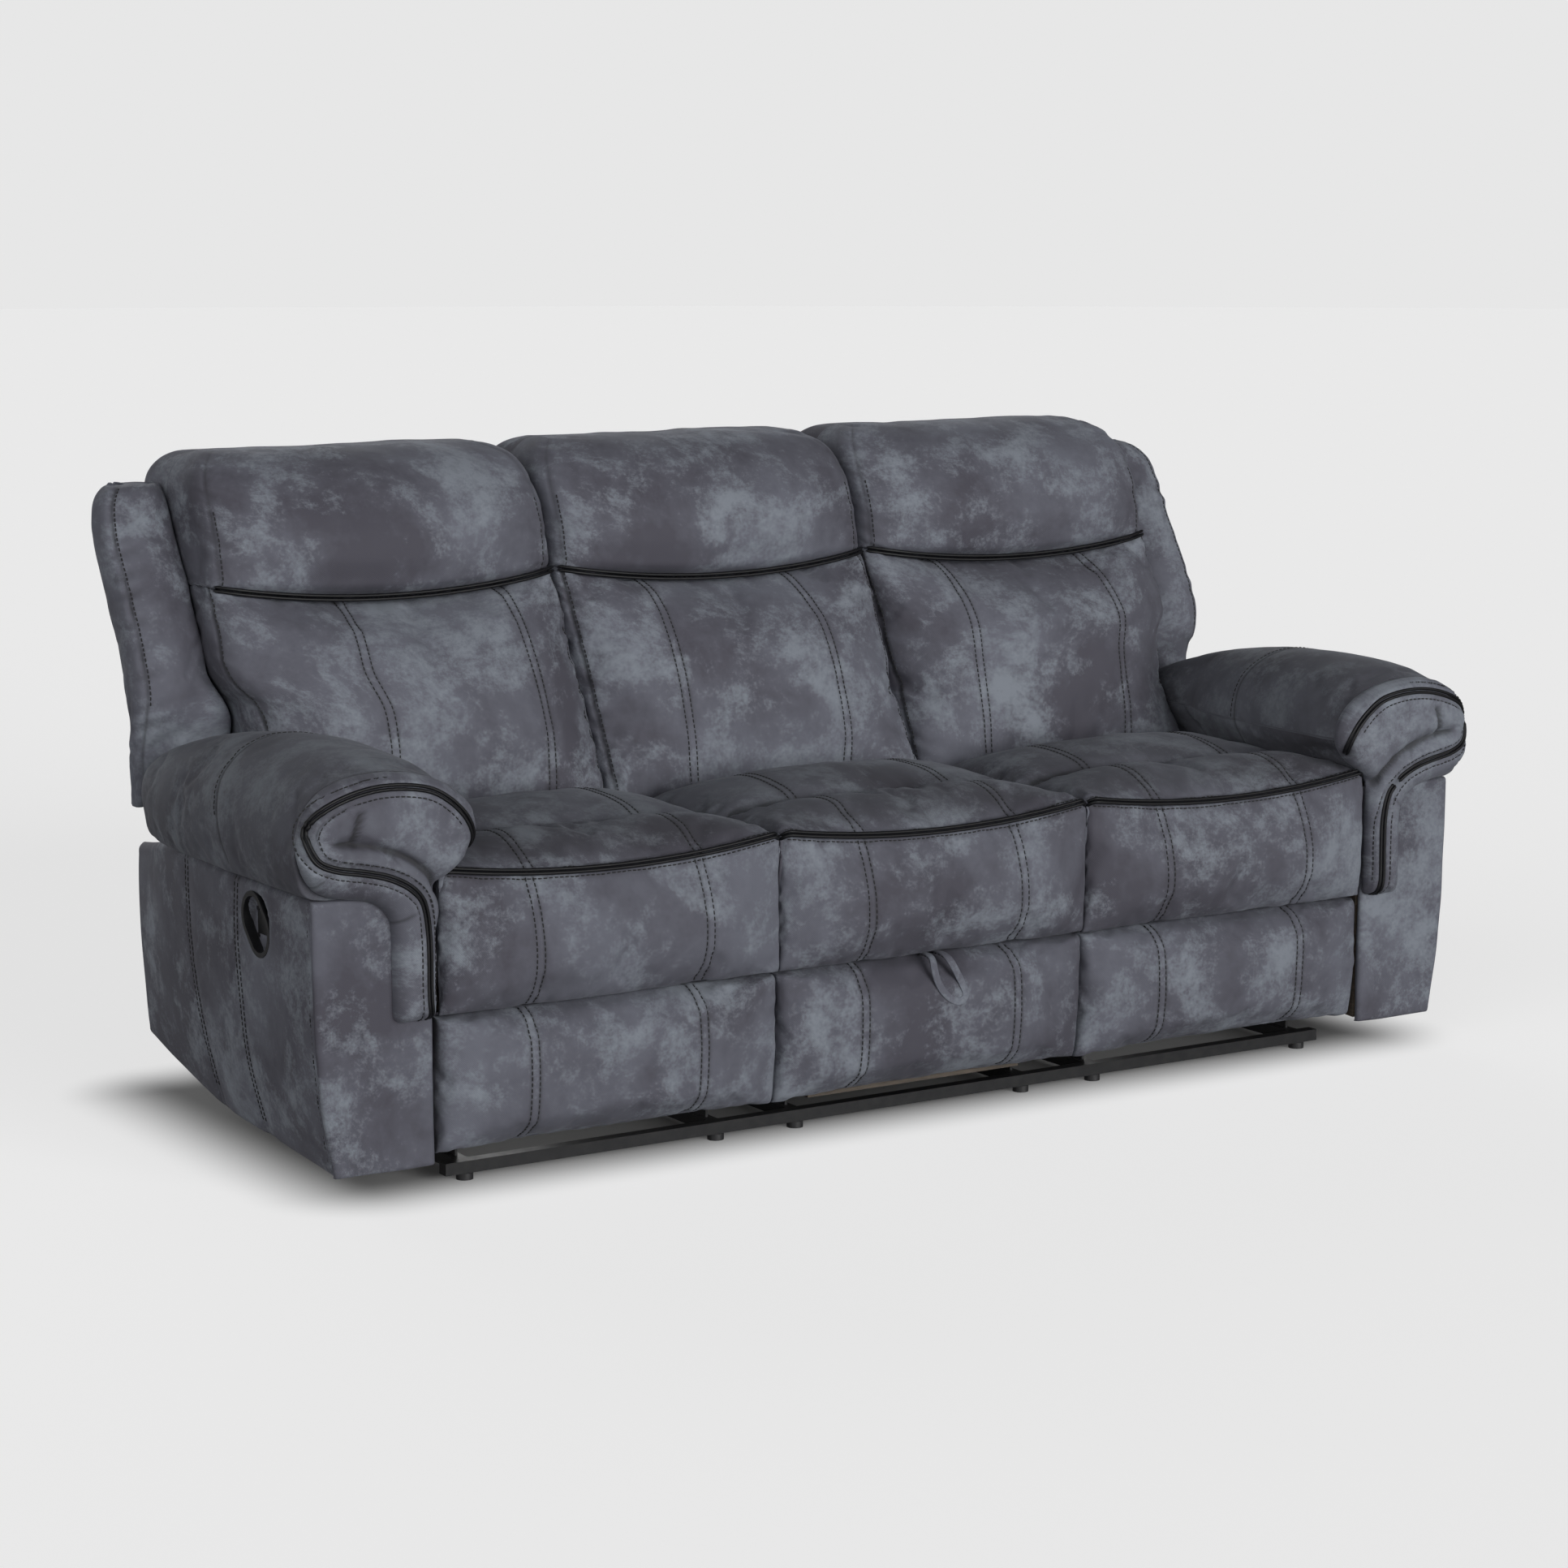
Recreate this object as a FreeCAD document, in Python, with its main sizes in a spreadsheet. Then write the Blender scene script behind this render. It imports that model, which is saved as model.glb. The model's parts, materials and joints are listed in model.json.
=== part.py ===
import FreeCAD, Part
import Sketcher
import math
import os

# Reclining sofa for three, in millimetres.
# X runs to the sitter's left hand as seen from the front, Y to the rear, Z up.
# The origin is on the floor under the middle of the sofa. "left" means the -X side.

V = FreeCAD.Vector
doc = FreeCAD.newDocument("reclining_sofa")
sheet = doc.addObject("Spreadsheet::Sheet", "Sizes")

SIZES = (
    ("seat_pitch", 560, "one seat, boundary to boundary"),
    ("back_pitch", 590, "one back cushion, boundary to boundary"),
    ("soft_gap", 1.5, "half the gap between neighbouring cushions"),
    ("foot_radius", 12.5, "glide foot"),
    ("foot_height", 10, "glide foot"),
    ("foot_front", 375, "front feet ahead of the middle"),
    ("foot_rear", 300, "rear feet behind the middle"),
    ("rail_height", 18, "steel base rails"),
    ("rail_width", 20, "steel base rails"),
    ("cross_rail_half", 805, "half the length of the front cross rail"),
    ("plate_offset", 208, "mechanism plate's inner face from the seat's middle"),
    ("plate_thick", 4, "mechanism plates and links"),
    ("link_gap", 0.5, "between neighbouring links"),
    ("plate_front", 350, "front edge of the plates ahead of the middle"),
    ("back_ear", 24, "plate's ear round the back hinge"),
    ("plate_top", 262, "top of the plates, under the seat frame"),
    ("deck_height", 60, "height of the seat frame's boards"),
    ("board_thick", 18, "plywood boards"),
    ("batten_width", 40, "cross battens of the seat frame"),
    ("batten_height", 20, "cross battens of the seat frame"),
    ("deck_half", 273, "half the width of a seat frame"),
    ("deck_front", 428.5, "seat frame's front ahead of the middle"),
    ("deck_rear", 112, "seat frame's rear behind the middle"),
    ("deck_clear", 0.5, "cushion above the seat frame"),
    ("web_thick", 2, "sprung webbing of the seat"),
    ("web_width", 50, "sprung webbing of the seat"),
    ("seat_rear", 12, "seat cushion's rear behind the middle"),
    ("seat_tongue", 104, "seat cushion's tongue under the lumbar cushion, behind the middle"),
    ("seat_tuck", 6, "tongue below the lumbar cushion"),
    ("seat_rear_top", 448, "height of the seat cushion's rear edge"),
    ("seat_crest", 490, "height of the seat cushion's crown"),
    ("seat_valley", 478, "height behind the front roll"),
    ("seat_valley_front", 250, "crease behind the front roll, ahead of the middle"),
    ("seat_side_fall", 34, "how far the crown falls to the sides"),
    ("seat_roll", 7, "front roll above its piping"),
    ("seat_piping", 440, "height of the front piping at mid seat"),
    ("seat_piping_rise", 24, "rise of the front piping to the seat's corners"),
    ("border_back", 430, "rear of the seat's front border ahead of the middle"),
    ("border_bottom", 257, "bottom of the seat's front border"),
    ("border_edge", 16, "depth of the border's edge"),
    ("border_bulge", 30, "crown of the border"),
    ("panel_bottom", 55, "bottom of the lower front panels"),
    ("panel_top", 252, "top of the lower front panels"),
    ("panel_board_back", 388, "rear of the lower panels' board ahead of the middle"),
    ("panel_board_thick", 12, "lower panels' board"),
    ("panel_inset", 7, "board inside the pad's outline"),
    ("panel_edge", 42, "depth of the pad's top edge"),
    ("panel_lean", 12, "how far the pad's bottom leans back"),
    ("panel_bulge", 22, "crown of the lower pads"),
    ("fold_pivot_front", 317, "footrest linkage's base pivot ahead of the middle"),
    ("fold_pivot_height", 240, "footrest linkage's base pivot"),
    ("fold_arm", 190, "first link, pivot to pivot"),
    ("fold_arm_angle", 115.5, "first link's angle below forward at rest"),
    ("reach_arm", 215, "second link, pivot to pivot"),
    ("reach_arm_angle", 49, "second link's angle above forward"),
    ("link_radius", 10, "rounded ends of the links"),
    ("pin_radius", 5, "rivets of the linkage"),
    ("pin_clear", 0.06, "running clearance of rivets and pins"),
    ("tube_radius", 8, "cross tube of the first links"),
    ("bracket_height", 70, "footrest bracket"),
    ("bracket_above", 14, "footrest bracket above its pivot"),
    ("back_pivot_rear", 150, "back hinge behind the middle"),
    ("back_pivot_height", 330, "back hinge"),
    ("back_pin_radius", 6, "back hinge pin"),
    ("back_bracket_top", 395, "back hinge bracket"),
    ("back_low_rail", 400, "height of the back frame's low rail"),
    ("back_foot", 300, "bottom of the back frames"),
    ("back_datum_rear", 212.5, "rear face of the back at back_foot, behind the middle"),
    ("back_slope", 0.41, "backward lean of the rear face per unit of height"),
    ("back_panel_thick", 10, "rear cover panel"),
    ("back_frame_depth", 42, "posts and rails of the back frame"),
    ("back_skin_clear", 1, "cushions ahead of the frame"),
    ("back_frame_top", 905, "top of the back frames"),
    ("back_post_width", 45, "posts of the back frame"),
    ("back_rail_width", 60, "rails of the back frame"),
    ("back_mid_rail", 600, "height of the back frame's middle rail"),
    ("back_top", 1016, "top of the head cushions"),
    ("lumbar_bottom", 400, "bottom of the lumbar cushions"),
    ("lumbar_line", 452, "height where the lumbar cushion meets the seat"),
    ("lumbar_front", 14, "lumbar cushion's bottom edge behind the middle"),
    ("lumbar_slope", 0.53, "backward lean of the cushion's side edge"),
    ("lumbar_crown", 62, "crown of the lumbar cushions"),
    ("head_seam", 790, "seam between lumbar and head cushion"),
    ("head_crown", 60, "crown of the head cushions"),
    ("head_overhang", 17, "head cushion behind the rear panel"),
    ("cushion_roll", 12, "side walls bulge past the front seams"),
    ("back_outer", 885, "outer side of the outer back cushions"),
    ("back_outer_low", 843, "the same between the arms"),
    ("wing_inner", 889, "wing's inner side"),
    ("wing_outer", 1004, "wing's outer side"),
    ("wing_rear_share", 0.661, "width of the wing's rear shell, as a share of the wing's"),
    ("wing_bottom", 475, "bottom of the wings"),
    ("wing_top", 948, "top of the wings"),
    ("wing_top_front", 404, "front of the wing's rounded top behind the middle"),
    ("wing_crown", 9, "crown of the wing's front"),
    ("wing_clear", 5, "wing behind the arm pad"),
    ("wing_pad_share", 0.6, "share of the wing's depth that is pad"),
    ("arm_inner", 847, "arm's inner face"),
    ("arm_outer", 1028, "arm's outer face at the front"),
    ("arm_taper_share", 0.431, "share of the arm's width by which its face runs in to the rear"),
    ("arm_low_taper_share", 0.343, "the same for the tucked bottom"),
    ("arm_tuck_share", 0.155, "share of the arm's width that is tucked in at the bottom"),
    ("arm_front", 425.5, "front of the arm frame ahead of the middle"),
    ("arm_rear", 345, "rear of the arm behind the middle"),
    ("arm_top", 437, "top of the arm frame and panels"),
    ("arm_rear_top", 398, "the same at the rear end"),
    ("arm_bottom", 45, "bottom of the arm panels at the front"),
    ("arm_bottom_rise", 50, "rise of the bottom edge to the rear"),
    ("arm_frame_clear", 8, "arm frame inside its panels"),
    ("arm_skin", 14, "padded side panel"),
    ("arm_front_skin", 12, "padded front panel"),
    ("pad_inner", 806, "inner side of the arm pad"),
    ("pad_overhang", 32, "arm pad past the arm's outer face"),
    ("pad_middle", 517, "height of the arm pad's widest line"),
    ("pad_height", 628, "top of the arm pad"),
    ("pad_rear", 198, "rear end of the arm pad behind the middle"),
    ("boot_depth", 38, "scroll and boot pad on the arm's front"),
    ("boot_bottom", 256, "bottom of the boot pad"),
    ("boot_share", 0.3536, "width of the boot pad, as a share of the arm's"),
    ("boot_round", 14, "rounded front edge of the boot pad"),
    ("latch_front", 250, "latch cup ahead of the middle"),
    ("latch_height", 376, "latch cup"),
    ("latch_radius", 32, "rounded ends of the latch cup"),
    ("latch_shift", 10, "each rounded end from the cup's middle, forward and down"),
    ("latch_depth", 26, "latch cup"),
    ("latch_wall", 3, "latch cup"),
    ("latch_lip", 4, "flange of the latch cup"),
    ("latch_fit", 0.3, "latch cup in the side panel"),
    ("latch_sunk", 1.5, "flange's seat below the arm's widest line"),
    ("lever_width", 36, "release lever"),
    ("lever_height", 32, "release lever"),
    ("lever_thick", 6, "release lever"),
    ("lever_pin_radius", 1.5, "release lever's pin"),
    ("bracket_inset", 90, "arm brackets from the ends of the seat frame"),
    ("cable_radius", 3, "release cable"),
    ("cable_hole_height", 216, "release cable's hole in the arm's inner board"),
    ("drawer_half", 195, "half the width of the drawer box"),
    ("drawer_rear", 120, "drawer's rear behind the middle"),
    ("drawer_bottom", 45, "drawer box"),
    ("drawer_top", 235, "drawer box"),
    ("drawer_wall", 12, "drawer box"),
    ("drawer_floor", 6, "drawer box"),
    ("runner_bottom", 100, "drawer runners"),
    ("runner_height", 40, "drawer runners"),
    ("runner_gap", 0.4, "between the drawer's slide and its runner"),
    ("slide_thick", 1.6, "slides on the drawer's sides"),
    ("strap_width", 12, "pull strap"),
    ("strap_thick", 3, "pull strap"),
    ("strap_drop", 66, "pull strap's legs"),
    ("strap_half", 11, "half the width of the strap's loop"),
    ("strap_tab", 40, "strap sewn on the top of the pad"),
    ("strap_tilt", 18.5, "degrees that the strap stands out from the drawer's front"),
)

for row, (alias, value, note) in enumerate(SIZES, 1):
    sheet.set(f"A{row}", alias)
    sheet.set(f"B{row}", str(value))
    sheet.set(f"C{row}", note)
    sheet.setAlias(f"B{row}", alias)
doc.recompute()


class Size:
    """A length that carries its number and the sheet formula that gives it."""

    def __init__(self, value, formula):
        self.value = float(value)
        self.formula = formula

    def __float__(self):
        return self.value

    def __add__(self, other):
        return Size(self.value + float(other), f"({self.formula} + {written(other)})")

    def __radd__(self, other):
        return Size(float(other) + self.value, f"({written(other)} + {self.formula})")

    def __sub__(self, other):
        return Size(self.value - float(other), f"({self.formula} - {written(other)})")

    def __rsub__(self, other):
        return Size(float(other) - self.value, f"({written(other)} - {self.formula})")

    def __mul__(self, other):
        return Size(self.value * float(other), f"({self.formula} * {written(other)})")

    __rmul__ = __mul__

    def __truediv__(self, other):
        return Size(self.value / float(other), f"({self.formula} / {written(other)})")

    def __neg__(self):
        return Size(-self.value, f"(0 - {self.formula})")


def written(number):
    return number.formula if isinstance(number, Size) else repr(float(number))


class Sheet:
    """The sheet's cells by name."""

    def __init__(self):
        for alias, _, _ in SIZES:
            setattr(self, alias, Size(sheet.get(alias), f"Sizes.{alias}"))


d = Sheet()
sub_parts = []


def bind(item, name, size):
    if isinstance(size, Size):
        item.setExpression(name, size.formula)
    else:
        setattr(item, name, float(size))


def place(item, x, y, z):
    for axis, size in zip("xyz", (x, y, z)):
        if isinstance(size, Size):
            item.setExpression(f"Placement.Base.{axis}", size.formula)
        else:
            base = item.Placement.Base
            setattr(base, axis, float(size))
            item.Placement.Base = base


def box(name, x0, x1, y0, y1, z0, z1):
    item = doc.addObject("Part::Box", name)
    bind(item, "Length", x1 - x0)
    bind(item, "Width", y1 - y0)
    bind(item, "Height", z1 - z0)
    place(item, x0, y0, z0)
    return item


ALONG = {"x": FreeCAD.Rotation(V(0, 1, 0), 90), "z": FreeCAD.Rotation()}


def rod(name, axis, radius, length, x, y, z):
    item = doc.addObject("Part::Cylinder", name)
    item.Placement = FreeCAD.Placement(V(0, 0, 0), ALONG[axis])
    bind(item, "Radius", radius)
    bind(item, "Height", length)
    place(item, x, y, z)
    return item


def fuse(name, *items):
    item = doc.addObject("Part::MultiFuse", name)
    item.Shapes = list(items)
    return item


def cut(name, base, tool):
    item = doc.addObject("Part::Cut", name)
    item.Base = base
    item.Tool = tool
    return item


def keep(label, *items):
    """Name one sub-part; several items are a group of separate solids."""
    item = items[0]
    if len(items) > 1:
        item = doc.addObject("Part::Compound", f"group_{label}")
        item.Links = list(items)
    item.Label = label
    sub_parts.append(item)
    return item


def plane_of(body, role):
    for feature in body.Origin.OriginFeatures:
        if feature.Role == role:
            return feature
    raise ValueError(role)


def pad_outline(name, role, corners, depth, offset, arcs=None, holes=()):
    """A board or plate: an outline on one of the body's own planes, padded to its thickness.

    corners are (across, up) pairs. arcs maps the index of a side to the point its arc passes.
    holes are (across, up, radius).
    """
    arcs = arcs or {}
    body = doc.addObject("PartDesign::Body", name)
    sketch = body.newObject("Sketcher::SketchObject", f"{name}_outline")
    sketch.AttachmentSupport = [(plane_of(body, role), "")]
    sketch.MapMode = "FlatFace"
    sketch.setExpression("AttachmentOffset.Base.z", written(offset))
    points = [V(float(a), float(b), 0) for a, b in corners]
    count = len(points)
    for i, point in enumerate(points):
        after = points[(i + 1) % count]
        if i in arcs:
            through = V(float(arcs[i][0]), float(arcs[i][1]), 0)
            sketch.addGeometry(Part.Arc(point, through, after), False)
        else:
            sketch.addGeometry(Part.LineSegment(point, after), False)
    for across, up, radius in holes:
        circle = Part.Circle(V(float(across), float(up), 0), V(0, 0, 1), float(radius))
        sketch.addGeometry(circle, False)
    for k, (across, up, radius) in enumerate(holes, count):
        hold(sketch, k, 3, across, up)
        index = sketch.addConstraint(Sketcher.Constraint("Radius", k, float(radius)))
        bind_constraint(sketch, index, radius)
    if not arcs:
        for i, (across, up) in enumerate(corners):
            sketch.addConstraint(Sketcher.Constraint("Coincident", i, 2, (i + 1) % count, 1))
            hold(sketch, i, 1, across, up)
    pad = body.newObject("PartDesign::Pad", f"{name}_pad")
    pad.Profile = sketch
    bind(pad, "Length", depth)
    return body


def hold(sketch, geometry, vertex, across, up):
    """Fix a vertex at its distances from the sketch's origin."""
    for kind, size in (("DistanceX", across), ("DistanceY", up)):
        constraint = Sketcher.Constraint(kind, -1, 1, geometry, vertex, float(size))
        bind_constraint(sketch, sketch.addConstraint(constraint), size)


def bind_constraint(sketch, index, size):
    if isinstance(size, Size):
        sketch.setExpression(f"Constraints[{index}]", size.formula)


def outline(start, *steps):
    """A closed wire. A step of one point is a straight side, of two an arc through the first."""
    edges = []
    here = start
    for step in steps:
        if len(step) == 2:
            edges.append(Part.Arc(here, step[0], step[1]).toShape())
        else:
            edges.append(Part.LineSegment(here, step[0]).toShape())
        here = step[-1]
    return Part.Wire(edges)


def soft(label, sections, ruled=False, away=None):
    """A soft sub-part lofted through its sections, with a solid taken away where it rests."""
    item = doc.addObject("Part::Feature", label)
    shape = Part.makeLoft(sections, True, ruled)
    if shape.Volume < 0:
        shape.reverse()
    item.Shape = shape.cut(away) if away else shape
    return keep(label, item)


def sides(side, inner, outer):
    """The low and high X of a piece on the left (-1) or right (+1)."""
    return (inner, outer) if side > 0 else (-outer, -inner)


SEATS = (("left", -1), ("centre", 0), ("right", 1))
ARMS = (("left", -1), ("right", 1))

# Base: feet, rails, mechanism plates

rail_top = d.foot_height + d.rail_height
arm_width = d.arm_outer - d.arm_inner
arm_taper = arm_width * d.arm_taper_share
arm_low_taper = arm_width * d.arm_low_taper_share
arm_tuck = arm_width * d.arm_tuck_share
pad_outer = d.arm_outer + d.pad_overhang
wing_width = d.wing_outer - d.wing_inner
wing_rear = d.wing_inner + wing_width * d.wing_rear_share
plate_outer = d.plate_offset + d.plate_thick
side_rail_middle = d.plate_offset + d.plate_thick / 2


def base_rails():
    front = -(d.foot_front + d.rail_width / 2)
    front_back = front + d.rail_width
    rear = d.foot_rear - d.rail_width / 2
    bars = [
        box("front_rail", -d.cross_rail_half, d.cross_rail_half, front, front_back,
            d.foot_height, rail_top),
        box("rear_rail", -d.cross_rail_half, d.cross_rail_half, rear, rear + d.rail_width,
            d.foot_height, rail_top),
    ]
    feet = []
    for seat, number in SEATS:
        for hand in (-1, 1):
            middle = d.seat_pitch * number + side_rail_middle * hand
            name = f"{seat}_{'left' if hand < 0 else 'right'}"
            bars.append(box(f"{name}_rail", middle - d.rail_width / 2, middle + d.rail_width / 2,
                            front_back, rear, d.foot_height, rail_top))
            for end, where in (("front", -d.foot_front), ("rear", d.foot_rear)):
                feet.append(rod(f"{name}_{end}_foot", "z", d.foot_radius, d.foot_height,
                                middle, where, 0.0))
    keep("base_rails", *bars)
    keep("feet", *feet)


def mechanism_plates():
    """Two upright plates a seat, with the ear that holds the back's hinge pin."""
    plates = []
    corners = (
        (-d.plate_front, rail_top),
        (d.back_pivot_rear + d.back_ear, rail_top),
        (d.back_pivot_rear + d.back_ear, d.back_pivot_height + d.back_ear),
        (d.back_pivot_rear - d.back_ear, d.back_pivot_height + d.back_ear),
        (d.back_pivot_rear - d.back_ear, d.plate_top),
        (-d.plate_front, d.plate_top),
    )
    back_hole = (d.back_pivot_rear, d.back_pivot_height, d.back_pin_radius + d.pin_clear)
    fold_hole = (-d.fold_pivot_front, d.fold_pivot_height, d.pin_radius + d.pin_clear)
    for seat, number in SEATS:
        holes = (back_hole, fold_hole) if number else (back_hole,)
        for hand in (-1, 1):
            low, _ = sides(hand, d.plate_offset, plate_outer)
            plates.append(pad_outline(f"{seat}_plate_{'left' if hand < 0 else 'right'}",
                                      "YZ_Plane", corners, d.plate_thick,
                                      d.seat_pitch * number + low, holes=holes))
    keep("mechanism_plates", *plates)


# Seats: frame, webbing, cushion, front border

deck_bottom = d.plate_top
deck_top = d.plate_top + d.deck_height


def seat_frames():
    keep("seat_frames", *(board for seat, number in SEATS
                          for board in seat_boards(seat, d.seat_pitch * number)))


def seat_boards(seat, middle):
    left = middle - d.deck_half
    right = middle + d.deck_half
    front = -d.deck_front
    inner_left = left + d.board_thick
    inner_right = right - d.board_thick
    batten_top = deck_bottom + d.batten_height
    boards = [
        box(f"{seat}_deck_left", left, inner_left, front, d.deck_rear, deck_bottom, deck_top),
        box(f"{seat}_deck_right", inner_right, right, front, d.deck_rear, deck_bottom, deck_top),
        box(f"{seat}_deck_front", inner_left, inner_right, front, front + d.board_thick,
            deck_bottom, deck_top),
        box(f"{seat}_deck_rear", inner_left, inner_right, d.deck_rear - d.board_thick, d.deck_rear,
            deck_bottom, deck_top),
    ]
    for end, start in (("front", -d.plate_front), ("rear", d.deck_rear - d.board_thick * 4)):
        boards.append(box(f"{seat}_batten_{end}", inner_left, inner_right,
                          start, start + d.batten_width, deck_bottom, batten_top))
    return boards


def seat_webbing():
    """Elastic bands across each seat frame, fixed on its side boards."""
    bands = []
    count = 5
    for seat, number in SEATS:
        middle = d.seat_pitch * number
        pitch = (d.deck_front + d.deck_rear - d.board_thick * 2 - d.web_width) / (count - 1)
        for k in range(count):
            front = d.board_thick - d.deck_front + pitch * k
            half = d.deck_half - d.board_thick
            bands.append(box(f"{seat}_band_{k}", middle - half, middle + half,
                             front, front + d.web_width, deck_top - d.web_thick, deck_top))
    keep("seat_webbing", *bands)


# Stations across a cushion, as shares of its half width.
ACROSS = (-1.0, -0.9, -0.5, 0.0, 0.5, 0.9, 1.0)

# Shares of seat_side_fall by which the valley and the rear edge fall at the seat's sides.
VALLEY_FALL = 0.6
REAR_FALL = 0.5


def seat_cushion(seat, number):
    """Crowned top with a crease behind the front roll; the crown falls to both sides."""
    middle = d.seat_pitch * number
    half = d.seat_pitch / 2 - d.soft_gap
    low = float(deck_top + d.deck_clear)
    rear = float(d.seat_rear)
    tongue = float(d.seat_tongue)
    tuck = float(d.lumbar_bottom - d.seat_tuck)
    front = -float(d.border_back)
    crease = -float(d.seat_valley_front)
    sections = []
    for u in ACROSS:
        x = float(middle + half * u)
        fall = float(d.seat_side_fall) * u ** 4
        piping = float(d.seat_piping) + float(d.seat_piping_rise) * u * u
        valley = float(d.seat_valley) - fall * VALLEY_FALL
        roll = max(piping, valley) + float(d.seat_roll)
        sections.append(outline(
            V(x, tongue, low),
            (V(x, tongue, tuck),),
            (V(x, rear, tuck),),
            (V(x, rear, float(d.seat_rear_top) - fall * REAR_FALL),),
            (V(x, (rear + crease) / 2, float(d.seat_crest) - fall), V(x, crease, valley)),
            (V(x, (crease + front) / 2, roll), V(x, front, piping)),
            (V(x, front, low),),
            (V(x, tongue, low),),
        ))
    soft(f"{seat}_seat_cushion", sections)


def padded_front(label, middle, half, back, edge, lean, bulge, bottom, top, rise):
    """An upright pad: flat back, crowned front that draws in at both ends."""
    sections = []
    for u in ACROSS:
        x = float(middle + half * u)
        high = float(top) + float(rise) * u * u
        front_top = -float(back + edge)
        front_low = front_top + float(lean)
        crown = front_top + float(lean) / 2 - float(bulge) * (1 - 0.8 * u ** 4)
        sections.append(outline(
            V(x, -float(back), float(bottom)),
            (V(x, -float(back), high),),
            (V(x, front_top, high),),
            (V(x, crown, (float(bottom) + high) / 2), V(x, front_low, float(bottom))),
            (V(x, -float(back), float(bottom)),),
        ))
    return soft(label, sections)


# Footrests: linkage, board, pad

def along(angle, length):
    """The step forward and up of a link that points at an angle above forward."""
    turn = math.radians(float(angle))
    return length * math.cos(turn), length * math.sin(turn)


drop_forward, drop_up = along(-d.fold_arm_angle, d.fold_arm)
reach_forward, reach_up = along(d.reach_arm_angle, d.reach_arm)
elbow_front = d.fold_pivot_front + drop_forward
elbow_height = d.fold_pivot_height + drop_up
rest_front = elbow_front + reach_forward
rest_height = elbow_height + reach_up

fold_layer = d.plate_offset - d.link_gap - d.plate_thick
reach_layer = fold_layer - d.link_gap - d.plate_thick
bracket_layer = reach_layer - d.link_gap - d.plate_thick


def link_bar(name, x, start_front, start_height, angle, length):
    """A flat bar with rounded ends, lying in a plane of constant X."""
    bar = doc.addObject("Part::Box", f"{name}_flat")
    bar.Placement = FreeCAD.Placement(V(0, 0, 0), FreeCAD.Rotation(V(1, 0, 0), -float(angle)))
    bind(bar, "Length", d.plate_thick)
    bind(bar, "Width", length)
    bind(bar, "Height", d.link_radius * 2)
    forward, up = along(angle, length)
    across, rise = along(float(angle) - 90, d.link_radius)
    place(bar, x, -(start_front + forward + across), start_height + up + rise)
    ends = [
        rod(f"{name}_end_{k}", "x", d.link_radius, d.plate_thick, x, -(front), height)
        for k, (front, height) in enumerate((
            (start_front, start_height), (start_front + forward, start_height + up)))
    ]
    return [bar] + ends


def footrest(seat, number):
    middle = d.seat_pitch * number
    fold_parts = []
    reach_bars = []
    bracket_parts = []
    for hand in (-1, 1):
        name = f"{seat}_{'left' if hand < 0 else 'right'}"
        x = middle + sides(hand, fold_layer, fold_layer + d.plate_thick)[0]
        fold_parts += link_bar(f"{name}_fold", x, d.fold_pivot_front, d.fold_pivot_height,
                               -d.fold_arm_angle, d.fold_arm)
        pivot_low, pivot_high = sides(hand, fold_layer, plate_outer + d.link_gap)
        fold_parts.append(rod(f"{name}_fold_pin", "x", d.pin_radius, pivot_high - pivot_low,
                              middle + pivot_low, -d.fold_pivot_front, d.fold_pivot_height))
        elbow_low, elbow_high = sides(hand, reach_layer, fold_layer + d.plate_thick)
        fold_parts.append(rod(f"{name}_elbow_pin", "x", d.pin_radius, elbow_high - elbow_low,
                              middle + elbow_low, -elbow_front, elbow_height))
        x = middle + sides(hand, reach_layer, reach_layer + d.plate_thick)[0]
        bar = fuse(f"{name}_reach_bar", *link_bar(f"{name}_reach", x, elbow_front, elbow_height,
                                                  d.reach_arm_angle, d.reach_arm))
        holes = fuse(f"{name}_reach_holes", *(
            rod(f"{name}_reach_hole_{k}", "x", d.pin_radius + d.pin_clear, d.plate_thick,
                x, -front, height)
            for k, (front, height) in enumerate(((elbow_front, elbow_height),
                                                 (rest_front, rest_height)))))
        reach_bars.append(cut(f"{name}_reach_link", bar, holes))
        low, high = sides(hand, bracket_layer, bracket_layer + d.plate_thick)
        ear_top = rest_height + d.bracket_above
        bracket_parts.append(fuse(
            f"{name}_bracket",
            box(f"{name}_bracket_ear", middle + low, middle + high,
                -d.panel_board_back, d.link_radius - rest_front,
                ear_top - d.bracket_height, ear_top),
            rod(f"{name}_bracket_pin", "x", d.pin_radius,
                d.plate_thick * 2 + d.link_gap,
                middle + sides(hand, bracket_layer, reach_layer + d.plate_thick)[0],
                -rest_front, rest_height)))
    forward, up = along(-d.fold_arm_angle, d.fold_arm / 2)
    fold_parts.append(rod(f"{seat}_fold_tube", "x", d.tube_radius, fold_layer * 2,
                          middle - fold_layer, -(d.fold_pivot_front + forward),
                          d.fold_pivot_height + up))
    keep(f"{seat}_fold_arms", fuse(f"{seat}_fold_arm_set", *fold_parts))
    keep(f"{seat}_reach_arms", *reach_bars)
    keep(f"{seat}_footrest_brackets", *bracket_parts)
    panel_board(f"{seat}_footrest_board", middle)
    panel_pad(f"{seat}_footrest_pad", middle)


def panel_board(label, middle):
    half = d.seat_pitch / 2 - d.soft_gap - d.panel_inset * 2
    front = -(d.panel_board_back + d.panel_board_thick)
    keep(label, box(f"{label}_board", middle - half, middle + half, front, -d.panel_board_back,
                    d.panel_bottom + d.panel_inset, d.panel_top - d.panel_inset))


def panel_pad(label, middle):
    half = d.seat_pitch / 2 - d.soft_gap
    padded_front(label, middle, half, d.panel_board_back + d.panel_board_thick, d.panel_edge,
                 d.panel_lean, d.panel_bulge, d.panel_bottom, d.panel_top, 0.0)


# Drawer under the centre seat

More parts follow.
